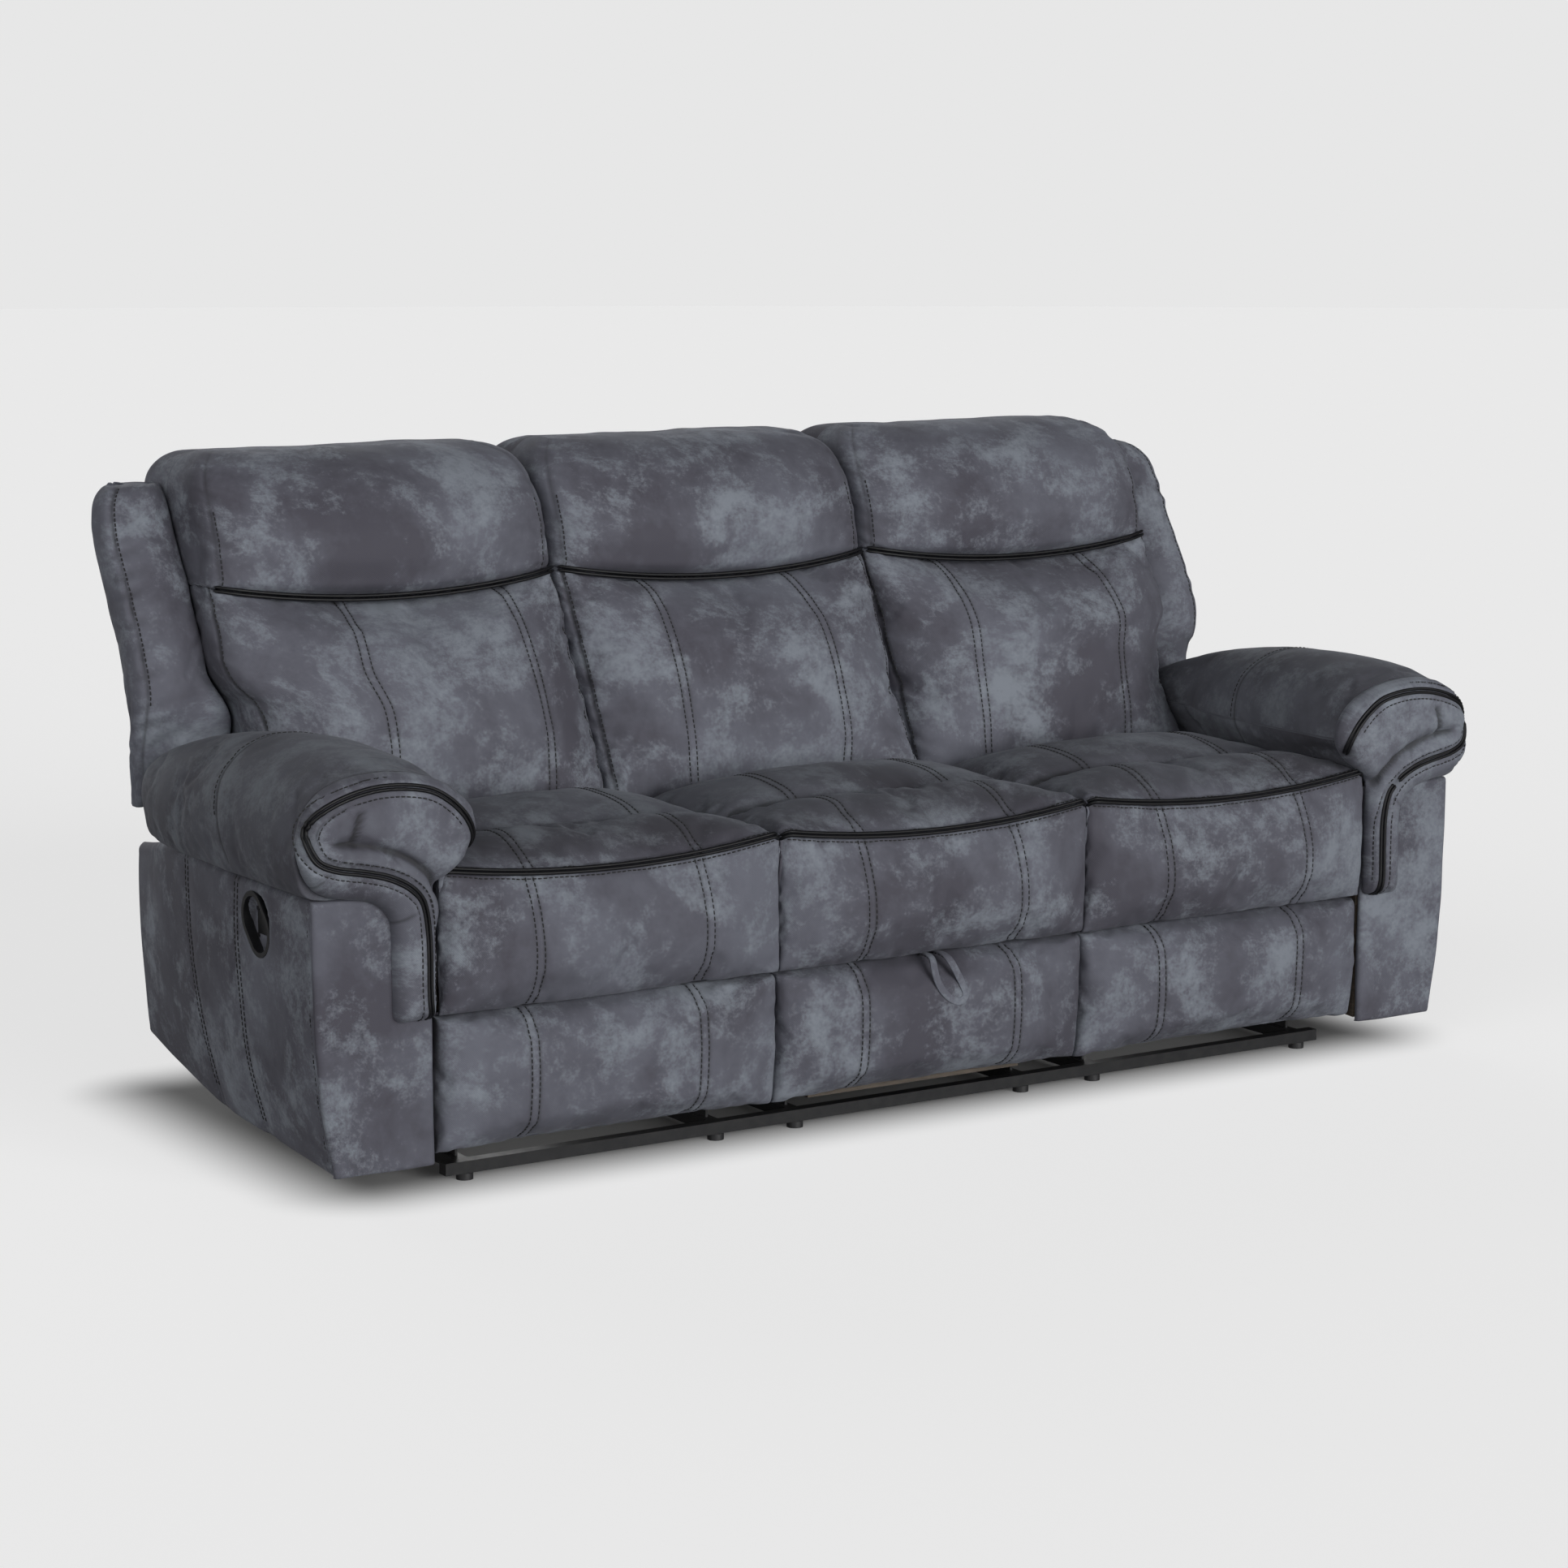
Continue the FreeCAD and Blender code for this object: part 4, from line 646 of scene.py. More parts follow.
class Socket:
    """A shader node's socket, on which arithmetic adds Math nodes."""

    def __init__(self, finish, out):
        self.finish = finish
        self.out = out

    def math(self, kind, *others):
        return self.finish.node("ShaderNodeMath", {"operation": kind},
                                {k: value for k, value in enumerate((self, *others))})

    def __add__(self, other):
        return self.math("ADD", other)

    __radd__ = __add__

    def __mul__(self, other):
        return self.math("MULTIPLY", other)

    __rmul__ = __mul__

    def __sub__(self, other):
        return self.math("SUBTRACT", other)

    def __rsub__(self, other):
        return self.finish.node("ShaderNodeMath", {"operation": "SUBTRACT"}, {0: other, 1: self})

    def bounded(self):
        return self.finish.node("ShaderNodeClamp", {}, {0: self})


class Finish:
    """A material and the nodes that are added to it."""

    def __init__(self, name, **surface):
        self.material = bpy.data.materials.new(name)
        self.material.use_nodes = True
        self.tree = self.material.node_tree
        self.tree.nodes.clear()
        output = self.tree.nodes.new("ShaderNodeOutputMaterial")
        self.surface = self.tree.nodes.new("ShaderNodeBsdfPrincipled")
        self.tree.links.new(self.surface.outputs[0], output.inputs[0])
        self.put(**surface)

    def put(self, **surface):
        """Sets or links the shader's sockets; a socket's name has _ for each space."""
        for name, value in surface.items():
            self.fill(self.surface.inputs[name.replace("_", " ")], value)

    def fill(self, socket, value):
        if isinstance(value, Socket):
            self.tree.links.new(value.out, socket)
        elif hasattr(value, "__len__") and len(value) == 3 and socket.type == "RGBA":
            socket.default_value = (*value, 1.0)
        else:
            socket.default_value = value

    def node(self, kind, settings=None, inputs=None, out=0):
        """One node: its settings first, a ramp's stops among them, then values or links."""
        made = self.tree.nodes.new(kind)
        for name, value in (settings or {}).items():
            if name == "stops":
                ramp = made.color_ramp
                while len(ramp.elements) < len(value):
                    ramp.elements.new(0.5)
                for element, (place, shade) in zip(ramp.elements, value):
                    element.position = place
                    element.color = (*shade, 1.0)
            else:
                setattr(made, name, value)
        for name, value in (inputs or {}).items():
            self.fill(made.inputs[name], value)
        return Socket(self, made.outputs[out])

    def noise(self, place, scale, detail=2.0, roughness=0.5, distortion=0.0):
        return self.node("ShaderNodeTexNoise", {}, {
            "Vector": place, "Scale": scale, "Detail": detail, "Roughness": roughness,
            "Distortion": distortion})

    def mix(self, share, first, second):
        return self.node("ShaderNodeMix", {"data_type": "RGBA"},
                         {0: share, 6: first, 7: second}, out=2)

    def vector(self, kind, *values, out=0):
        return self.node("ShaderNodeVectorMath", {"operation": kind}, dict(enumerate(values)), out)

    def ramp(self, value, stops):
        return self.node("ShaderNodeValToRGB", {"stops": stops}, {0: value})

    def attribute(self, name, out):
        return self.node("ShaderNodeAttribute", {"attribute_name": name}, out=out)

    def objects(self):
        return self.node("ShaderNodeTexCoord", out=3)

    def stretched(self, place, scale):
        return self.node("ShaderNodeMapping", {}, {"Vector": place, "Scale": scale})

    def bumped(self, height, strength, distance):
        return self.node("ShaderNodeBump", {}, {"Strength": strength, "Distance": distance,
                                                "Height": height})


def grey(value):
    return (value, value, value)


def upholstery():
    """Brushed suede-look cloth: ragged clouds of a darker and a lighter nap, a fine twill, painted
    shade in its folds and along its seams, and painted highlight where it stands proud."""
    if "suede_cloth" in bpy.data.materials:
        return bpy.data.materials["suede_cloth"]
    c = colours()
    f = Finish("suede_cloth", Roughness=0.82, Specular_IOR_Level=0.22, Sheen_Weight=0.08,
               Sheen_Roughness=0.45, Sheen_Tint=(0.75, 0.8, 0.9))
    place = f.attribute("cloth", 1)
    hollow = f.attribute("hollow", 2)
    clouds = f.noise(place, 9.0, 12.0, 0.76, 0.15)
    slow = f.noise(f.stretched(place, (1.15, 0.85, 1.0)), 3.6, 5.0, 0.6, 0.2)
    flecks = f.noise(place, 150.0, 4.0, 0.75)
    nap = clouds * 0.30 + slow * 0.70
    bloom = f.ramp(clouds * 0.70 + flecks * 0.16 + slow * 0.14, ((0.492, grey(0.0)),
                                                                 (0.590, grey(0.85))))
    tones = ((0.40, tuple(c.dark)), (0.56, tuple(c.middle)))
    twill = f.node("ShaderNodeTexWave", {"bands_direction": "DIAGONAL"}, {
        "Vector": place, "Scale": 210.0, "Distortion": 1.6, "Detail": 1.0, "Detail Scale": 3.0})
    weave = f.noise(place, 620.0, 2.0, 0.6)
    grain = twill * 0.4 + weave * 0.6
    brushed = f.mix(bloom, f.ramp(nap, tones), tuple(c.light))
    # Painted shade: the cloth is mixed towards near black in its folds, seams and grooves, and over
    # the seat tops and arm pads.
    fold_shaded = f.mix((hollow * 0.75).bounded(), brushed, grey(0.016))
    toned = f.mix((grain * 0.22).bounded(), fold_shaded, grey(0.03))
    # Painted highlight: the cloth is mixed towards its light grey where it stands above its
    # surroundings.
    crest_highlight = f.mix(((0.0 - hollow) * 0.35).bounded(), toned, tuple(c.light))
    f.put(Base_Color=crest_highlight, Roughness=nap * 0.25 + 0.68,
          Normal=f.bumped(grain + flecks * 0.5, 0.3, 0.0006))
    return f.material


def welt_cord():
    """Black cord with a satin face and a fine wound grain."""
    if "welt_cord" in bpy.data.materials:
        return bpy.data.materials["welt_cord"]
    f = Finish("welt_cord", Base_Color=tuple(colours().welt),
               Specular_IOR_Level=0.25)
    grain = f.noise(f.objects(), 900.0, 2.0, 0.6)
    f.put(Roughness=grain * 0.2 + 0.38, Normal=f.bumped(grain, 0.25, 0.0003))
    return f.material


def sewing_thread():
    if "sewing_thread" in bpy.data.materials:
        return bpy.data.materials["sewing_thread"]
    f = Finish("sewing_thread", Specular_IOR_Level=0.3)
    ply = f.noise(f.objects(), 1500.0, 2.0, 0.6)
    f.put(Base_Color=f.mix(ply, tuple(colours().thread), grey(0.02)), Roughness=0.6,
          Normal=f.bumped(ply, 0.4, 0.0002))
    return f.material


def plain_finishes():
    """Materials of the frame's own nodes, by the record's slots."""
    c = colours()
    made = {}
    f = Finish("black_steel", Specular_IOR_Level=0.3)
    wear = f.noise(f.objects(), 60.0, 5.0, 0.6)
    f.put(Base_Color=f.ramp(wear, ((0.4, tuple(c.steel)), (0.75, grey(0.014)))),
          Roughness=wear * 0.25 + 0.35, Normal=f.bumped(f.noise(f.objects(), 420.0), 0.12, 0.0004))
    made["steel_black"] = f.material
    f = Finish("foot_plastic")
    pits = f.noise(f.objects(), 700.0, 2.0, 0.6)
    f.put(Base_Color=tuple(c.plastic), Roughness=pits * 0.3 + 0.4,
          Normal=f.bumped(pits, 0.25, 0.0003))
    made["foot_plastic"] = f.material
    f = Finish("latch_plastic", Specular_IOR_Level=0.45)
    pits = f.noise(f.objects(), 900.0, 2.0, 0.6)
    f.put(Base_Color=tuple(c.plastic), Roughness=pits * 0.2 + 0.3,
          Normal=f.bumped(pits, 0.2, 0.0002))
    made["latch_plastic"] = f.material
    f = Finish("plywood", Specular_IOR_Level=0.3)
    place = f.stretched(f.objects(), (3.0, 3.0, 26.0))
    rings = f.noise(place, 6.0, 6.0, 0.6, 1.2)
    pores = f.noise(f.stretched(f.objects(), (60.0, 60.0, 700.0)), 1.0, 2.0)
    f.put(Base_Color=f.ramp(rings, ((0.3, (0.045, 0.035, 0.028)), (0.55, tuple(c.wood)),
                                    (0.8, (0.11, 0.09, 0.07)))),
          Roughness=pores * 0.2 + 0.5, Normal=f.bumped(pores, 0.3, 0.0003))
    made["plywood"] = f.material
    f = Finish("webbing", Specular_IOR_Level=0.2)
    threads = f.node("ShaderNodeTexWave", {"bands_direction": "Y"}, {
        "Vector": f.objects(), "Scale": 160.0, "Distortion": 0.6})
    f.put(Base_Color=f.mix(threads, tuple(c.web), grey(0.16)), Roughness=0.8,
          Normal=f.bumped(threads, 0.5, 0.0006))
    made["webbing"] = f.material
    f = Finish("cable_sleeve")
    ribs = f.noise(f.objects(), 500.0, 2.0)
    f.put(Base_Color=tuple(c.zinc), Roughness=ribs * 0.2 + 0.35,
          Normal=f.bumped(ribs, 0.2, 0.0003))
    made["cable_sleeve"] = f.material
    return made


class SOFA_OT_frame_finishes(bpy.types.Operator):
    """Gives every node of the frame that still shows a finish of its own"""
    bl_idname = "sofa.frame_finishes"
    bl_label = "Frame finishes"

    def execute(self, context):
        made = plain_finishes()
        for part in frame["record"]["subparts"]:
            material = made.get(part["material_slot"], upholstery())
            for holder in frame["nodes"][part["node"]].material_slots:
                holder.material = material
        return {"FINISHED"}


def rear_face(height):
    """Where the back frames' rear face is at a height."""
    return 0.2125 + 0.41 * (height - 0.3)


BACK_DEPTH = 0.053
SEAM_HEIGHT = 0.79


def back_body(seat):
    return "base" if seat == "centre" else f"{seat}_back"


def back_edges(number, low):
    """Low and high side of a back cushion; low is 1 between the arms and 0 above them."""
    if number == 0:
        return -0.2935, 0.2935
    outer = 0.885 - 0.042 * low
    return (0.2965, outer) if number > 0 else (-outer, -0.2965)


def seam_dip(across, height):
    """How far the seam under the head cushion dips in the middle and climbs at the sides."""
    return (0.026 * across ** 2 - 0.015) * bump(height - SEAM_HEIGHT, 0.11)


def dipped(grid, middle, half):
    grid[..., 2] += seam_dip((grid[..., 0] - middle) / half, grid[..., 2])
    return grid


# Up a lumbar cushion: height, place of the face, crown, and 1 where it fits between the arms.
LUMBAR = ((0.4015, 0.170, 0.0, 1), (0.401, 0.120, 0.0, 1), (0.402, 0.045, 0.0, 1),
          (0.412, 0.020, 0.004, 1), (0.4468, 0.018, 0.004, 1), (0.462, 0.0193, 0.0087, 1),
          (0.506, 0.0427, 0.026, 1), (0.567, 0.0749, 0.0446, 1), (0.621, 0.1036, 0.0589, 0.75),
          (0.675, 0.1322, 0.062, 0), (0.729, 0.1609, 0.0521, 0), (0.758, 0.1763, 0.037, 0),
          (0.778, 0.1870, 0.021, 0), (0.7875, 0.1945, 0.0124, 0), (0.7898, 0.206, 0.008, 0),
          (0.7898, 0.235, 0.0, 0), (0.7895, 0.29, 0.0, 0))
# Up a head cushion: height, place of the face, crown, how far its sides draw in, and how far its
# back stands behind the frame's front, as a share of the way to the rear.
HEAD = ((0.7915, 0.29, 0.0, 0.0, 0.2), (0.7905, 0.235, 0.0, 0.0, 0.2),
        (0.7905, 0.206, 0.010, 0.0, 0.2), (0.7935, 0.1965, 0.017, 0.0, 0.22),
        (0.804, 0.194, 0.033, 0.0, 0.3), (0.8176, 0.1985, 0.0444, 0.0, 0.36),
        (0.8536, 0.2081, 0.060, 0.0, 0.58), (0.8942, 0.2211, 0.060, 0.0, 0.8),
        (0.9280, 0.2381, 0.0516, 0.002, 0.95), (0.9570, 0.2590, 0.0400, 0.009, 0.9),
        (0.9780, 0.2840, 0.0280, 0.022, 0.5), (0.9905, 0.3100, 0.018, 0.040, -0.1),
        (0.9965, 0.3380, 0.008, 0.058, -1.0), (0.9975, 0.3620, 0.0, 0.066, -1.6))
# Across, at the bottom and the top, of each lumbar cushion's two seams.
LUMBAR_SEAMS = {"left": ((-0.100, -0.074), (0.157, 0.184)),
                "centre": ((-0.139, -0.139), (0.139, 0.139)),
                "right": ((-0.137, -0.141), (0.141, 0.137))}


class SOFA_OT_lumbar_cushions(bpy.types.Operator):
    """Makes the lumbar cushions with their twin seams"""
    bl_idname = "sofa.lumbar_cushions"
    bl_label = "Lumbar cushions"

    def execute(self, context):
        for seat, number in SEATS:
            low, high = back_edges(number, 0)
            middle, half = (low + high) / 2, (high - low) / 2
            ring = box_ring(2 * half, 0.15, 0.024, 0.01, sizes().coarse)
            stops = [(z, y, rear_face(z) - BACK_DEPTH, *back_edges(number, wide), crown)
                     for z, y, crown, wide in LUMBAR]
            grid = dipped(slab(stops, ring, sizes().coarse, 3.0), middle, half)
            pad = Pad(f"{seat}_lumbar_cover", grid)
            end = pad.length[-1]
            top = end - 0.105
            held = np.maximum(pad.back, np.maximum(pad.along < 0.17, pad.along > top + 0.004))
            held = np.maximum(held, 0.9 * (np.abs(np.abs(pad.across) - half + 0.006) < 0.006))
            pad.fill(held * 1.0).refine()
            side = half - 0.006
            edge = np.abs(np.abs(pad.across) - side)
            seam = np.abs(pad.along - top)
            pad.undulate(0.0022, 0.075, 3 + number).undulate(0.0009, 0.03, 9 + number)
            pad.pinch(edge, pad.along + 0.3 * pad.across, 0.0022, 0.040, 0.013, 21 + number)
            pad.pinch(seam, pad.across, 0.0014, 0.035, 0.014, 25 + number)
            pad.groove(edge, 0.0022, 0.0026, 0.5)
            lines = []
            for foot, head in LUMBAR_SEAMS[seat]:
                pad.twin(np.abs(pad.across - self.seam_at(foot, head, pad.along, top)))
                along = np.linspace(0.17, top - 0.014, SEAM_POINTS)
                for shift in (-1, 1):
                    across = self.seam_at(foot, head, along, top) + shift * sizes().twin
                    lines.append((across, along))
            across = np.linspace(-side + 0.004, side - 0.004, SEAM_POINTS)
            pad.groove(np.abs(pad.along - top + sizes().lip - 0.004), 0.0012, 0.002, 0.3)
            lines.append((across, np.full(SEAM_POINTS, top - sizes().lip + 0.004)))
            for turn in (-1, 1):
                along = np.linspace(0.18, top - 0.012, SEAM_POINTS)
                lines.append((np.full(SEAM_POINTS, turn * (side - 0.005)), along))
            pad.finish(back_body(seat), [f"{seat}_lumbar_cushion"], 0.75, upholstery())
            sewn = [pad.line(*line) for line in lines]
            stitches(f"{seat}_lumbar_stitching", back_body(seat), sewn, sewing_thread())
            share = np.linspace(-1, 1, 140)
            welt = np.stack([middle + share * (half - 0.002),
                             0.1725 + 0.006 * share ** 2 + 0.018 * share ** 10,
                             SEAM_HEIGHT - 0.0005 + seam_dip(share, SEAM_HEIGHT)], 1)
            normal = np.zeros_like(welt) + (0.0, -1.0, 0.05)
            welts(f"{seat}_back_welt", back_body(seat), [(welt, normal)], welt_cord())
        return {"FINISHED"}

    @staticmethod
    def seam_at(foot, head, along, top):
        """A twin seam leans evenly from its foot to its head and bows slightly outwards."""
        side = 1 if foot > 0 else -1
        return foot + (head - foot) * (along - 0.17) / (top - 0.17) + 0.006 * side * np.cos(
            (along - 0.2) * 5.0)


class SOFA_OT_head_cushions(bpy.types.Operator):
    """Makes the head cushions that roll over the top of the back frames"""
    bl_idname = "sofa.head_cushions"
    bl_label = "Head cushions"

    def execute(self, context):
        top_rear = rear_face(0.905) + 0.017
        for seat, number in SEATS:
            low, high = back_edges(number, 0)
            middle, half = (low + high) / 2, (high - low) / 2
            ring = box_ring(2 * half, 0.2, 0.028, 0.028, sizes().coarse)
            stops = []
            for z, y, crown, inset, share in HEAD:
                front = rear_face(z) - BACK_DEPTH
                stops.append((z, y, front + (top_rear - front) * share, low + inset,
                              high - inset, crown))
            grid = dipped(slab(stops, ring, sizes().coarse, 3.4), middle, half)
            pad = Pad(f"{seat}_head_cover", grid)
            start = 0.104
            held = np.maximum(pad.back * 0.8, pad.along < start)
            held = np.maximum(held, 0.9 * (np.abs(np.abs(pad.across) - half + 0.006) < 0.006))
            pad.fill(held * 1.0).refine()
            side = half - 0.006
            edge = np.abs(np.abs(pad.across) - side)
            seam = np.abs(pad.along - start)
            pad.undulate(0.0022, 0.08, 33 + number).undulate(0.0009, 0.03, 39 + number)
            pad.pinch(edge, pad.along + 0.3 * pad.across, 0.0024, 0.040, 0.016, 41 + number)
            pad.pinch(seam, pad.across, 0.0024, 0.045, 0.015, 45 + number)
            pad.groove(edge, 0.0018, 0.0024, 0.4)
            lip = start + sizes().lip - 0.001
            pad.groove(np.abs(pad.along - lip), 0.0012, 0.002, 0.3)
            across = np.linspace(-side + 0.004, side - 0.004, SEAM_POINTS)
            lines = [(across, np.full(SEAM_POINTS, lip))]
            for turn in (-1, 1):
                along = np.linspace(lip, lip + 0.19, 60)
                lines.append((np.full(60, turn * (side - 0.005)), along))
            pad.finish(back_body(seat), [f"{seat}_head_cushion"], 0.8, upholstery())
            sewn = [pad.line(*line) for line in lines]
            stitches(f"{seat}_head_stitching", back_body(seat), sewn, sewing_thread())
        return {"FINISHED"}


# From a seat's rear over its front roll: place in depth, then the face, its crown and the back,
# face and back as heights with the sign turned.
SEAT = ((0.100, -0.357, 0.0, -0.352), (0.100, -0.375, 0.0, -0.335), (0.085, -0.390, 0.0, -0.325),
        (0.04, -0.394, 0.0, -0.3232), (0.020, -0.402, 0.002, -0.3228),
        (0.010, -0.428, 0.014, -0.3226), (-0.010, -0.440, 0.020, -0.3226),
        (-0.060, -0.452, 0.028, -0.3226), (-0.119, -0.456, 0.034, -0.3226),
        (-0.185, -0.456, 0.031, -0.3226), (-0.240, -0.4555, 0.0215, -0.3226),
        (-0.262, -0.4560, 0.0205, -0.3226), (-0.300, -0.4610, 0.0225, -0.3226),
        (-0.350, -0.4655, 0.0190, -0.3226), (-0.395, -0.4680, 0.011, -0.325),
        (-0.425, -0.4685, 0.004, -0.345), (-0.4385, -0.4650, 0.0, -0.39),
        (-0.4425, -0.458, 0.0, -0.415), (-0.4415, -0.445, 0.0, -0.435))


class SOFA_OT_seat_cushions(bpy.types.Operator):
    """Makes the seat cushions, crowned behind and rolled in front"""
    bl_idname = "sofa.seat_cushions"
    bl_label = "Seat cushions"

    def execute(self, context):
        for seat, number in SEATS:
            middle = SEAT_PITCH * number
            ring = box_ring(2 * SEAT_HALF, 0.13, 0.018, 0.01, sizes().coarse)
            stops = [(y, face, back, -SEAT_HALF, SEAT_HALF, crown)
                     for y, face, crown, back in SEAT]
            grid = slab(stops, ring, sizes().coarse, 3.6)
            share = grid[..., 0] / SEAT_HALF
            grid = np.stack([grid[..., 0] + middle, grid[..., 2], -grid[..., 1]], -1)
            front = ease(-grid[..., 1], 0.34, 0.44)
            grid[..., 2] -= WELT_SAG * (1 - share ** 2) * front * (grid[..., 2] > 0.40)
            pad = Pad(f"{seat}_seat_cover", grid)
            end = pad.length[-1]
            start, seam = 0.17, end - 0.022
            held = np.maximum(pad.back, np.maximum(pad.along < start, pad.along > seam))
            held = np.maximum(held, 0.6 * (np.abs(pad.along - 0.455) < 0.007))
            pad.fill(held * 1.0).refine()
            side = SEAT_HALF - 0.004
            edge = np.abs(np.abs(pad.across) - side)
            crease_at = 0.455 + 0.022 * pad.across / SEAT_HALF
            crease = np.abs(pad.along - crease_at)
            # Painted shade: all of the seat but its front roll is drawn darker, for its top facing
            # away from the light.
            pad.shade += 0.5 * ease(-pad.along, -seam, -seam + 0.06)
            pad.undulate(0.0024, 0.085, 53 + number).undulate(0.0008, 0.03, 59 + number)
            pad.pinch(edge, pad.along, 0.0020, 0.035, 0.017, 61 + number)
            pad.pinch(np.abs(pad.along - seam), pad.across, 0.0016, 0.03, 0.014, 65 + number)
            pad.relief -= 0.005 * bump(crease, 0.016)
            pad.groove(crease, 0.002, 0.0045, 0.5)
            lines = []
            for offset in SEAT_SEAMS:
                shift = offset + 0.010 * (pad.along > crease_at)
                pad.twin(np.abs(pad.across - shift))
                for turn in (-1, 1):
                    place = offset + turn * sizes().twin
                    split = 0.455 + 0.022 * place / SEAT_HALF
                    lines.append((np.full(60, place), np.linspace(start, split, 60)))
                    lines.append((np.full(60, place + 0.010),
                                  np.linspace(split + 0.006, seam - 0.012, 60)))
            lip = seam - sizes().lip + 0.004
            pad.groove(np.abs(pad.along - lip), 0.0012, 0.002, 0.3)
            across = np.linspace(-side + 0.002, side - 0.002, SEAM_POINTS)
            lines.append((across, np.full(SEAM_POINTS, lip)))
            pad.finish("base", [f"{seat}_seat_cushion"], 0.7, upholstery())
            sewn = [pad.line(*line) for line in lines]
            stitches(f"{seat}_seat_stitching", "base", sewn, sewing_thread())
            across = np.linspace(-1, 1, 160)
            end = np.clip((np.abs(across) - 0.955) / 0.045, 0, 1) ** 2
            welt = np.stack([middle + across * (SEAT_HALF - 0.001), -0.4515 + 0.018 * end,
                             0.4655 - WELT_SAG * (1 - across ** 2) - 0.012 * end], 1)
            normal = np.zeros_like(welt) + (0.0, -0.78, 0.62)
            welts(f"{seat}_seat_welt", "base", [(welt, normal)], welt_cord())
        return {"FINISHED"}


# Up a seat's border, and up a footrest pad or the drawer's front: height, place of the face, crown.
BORDER = ((0.2575, -0.431, 0.0), (0.2572, -0.437, 0.001), (0.2595, -0.4425, 0.006),
          (0.268, -0.4455, 0.015), (0.29, -0.4465, 0.024), (0.32, -0.4470, 0.0295),
          (0.36, -0.4475, 0.0285), (0.40, -0.4478, 0.023), (0.435, -0.4472, 0.013),
          (0.455, -0.4462, 0.005), (0.4625, -0.4425, 0.001), (0.4635, -0.4345, 0.0))
LOWER = ((0.0555, -0.404, 0.0), (0.0553, -0.416, 0.0), (0.0580, -0.4265, 0.003),
         (0.072, -0.4310, 0.011), (0.105, -0.4340, 0.0195), (0.150, -0.4365, 0.0215),
         (0.190, -0.4385, 0.0195), (0.223, -0.4405, 0.013), (0.243, -0.4405, 0.006),
         (0.2510, -0.434, 0.001), (0.2518, -0.418, 0.0), (0.2515, -0.404, 0.0))


def front_panel(name, body, node, stops, back, middle, sag, seed, rounded=0.014):
    """A panel of the sofa's front with two twin seams, its top sagging with the welt if told."""
    ring = box_ring(2 * SEAT_HALF, 0.04, rounded, 0.006, sizes().coarse * 0.9)
    rows = [(z, face, back, middle - SEAT_HALF, middle + SEAT_HALF, crown)
            for z, face, crown in stops]
    grid = slab(rows, ring, sizes().coarse * 0.9, 4.0)
    share = (grid[..., 0] - middle) / SEAT_HALF
    if sag:
        grid[..., 2] -= WELT_SAG * (1 - share ** 2) * ease(grid[..., 2], 0.31, 0.46)
    pad = Pad(name, grid)
    end = pad.length[-1]
    held = np.maximum(pad.back, np.maximum(pad.along < 0.012, pad.along > end - 0.014))
    pad.fill(held * 1.0, spare=0.012, swell=0.008).refine()
    side = SEAT_HALF - 0.003
    edge = np.abs(np.abs(pad.across) - side)
    pad.undulate(0.0018, 0.07, seed).undulate(0.0007, 0.028, seed + 1)
    pad.pinch(edge, pad.along, 0.0012, 0.03, 0.016, seed + 2)
    ends = np.minimum(np.abs(pad.along - 0.012), np.abs(pad.along - end + 0.014))
    pad.pinch(ends, pad.across, 0.0014, 0.026, 0.016, seed + 3)
    lines = []
    for offset in SEAT_SEAMS:
        pad.twin(np.abs(pad.across - offset))
        for turn in (-1, 1):
            lines.append((np.full(60, offset + turn * sizes().twin),
                          np.linspace(0.012, end - 0.016, 60)))
    if sag:
        lip = end - 0.020
        pad.groove(np.abs(pad.along - lip), 0.0012, 0.002, 0.3)
        lines.append((np.linspace(-side + 0.003, side - 0.003, SEAM_POINTS),
                      np.full(SEAM_POINTS, lip)))
    pad.finish(body, [node], 0.7, upholstery())
    sewn = [pad.line(*line) for line in lines]
    stitches(name.replace("_cover", "_stitching"), body, sewn, sewing_thread())


class SOFA_OT_front_panels(bpy.types.Operator):
    """Makes the seat borders, the footrest pads and the drawer's padded front"""
    bl_idname = "sofa.front_panels"
    bl_label = "Front panels"

    def execute(self, context):
        for seat, number in SEATS:
            middle = SEAT_PITCH * number
            front_panel(f"{seat}_border_cover", "base", f"{seat}_seat_border", BORDER, -0.4303,
                        middle, True, 71 + 5 * number)
            body = f"{seat}_footrest" if number else "drawer"
            node = f"{seat}_footrest_pad" if number else "drawer_front_pad"
            front_panel(node + "_cover", body, node, LOWER, -0.4003, middle, False,
                        91 + 5 * number)
        return {"FINISHED"}


# Up a wing: height, place of the front edge, and how far the outer side and the back draw in.
WING = ((0.4755, 0.2165, 0.002, 0.0), (0.4790, 0.2145, 0.0, 0.0), (0.4900, 0.2130, 0.0, 0.0),
        (0.5318, 0.2120, 0.0, 0.0), (0.6027, 0.2120, 0.0, 0.0), (0.6879, 0.2331, 0.0, 0.0),
        (0.7825, 0.2811, 0.0, 0.0), (0.8676, 0.3310, 0.0, 0.0), (0.9149, 0.3579, 0.008, 0.003),
        (0.9385, 0.379, 0.024, 0.010), (0.9475, 0.402, 0.040, 0.024), (0.947, 0.425, 0.05, 0.03))
WING_INNER = 0.889


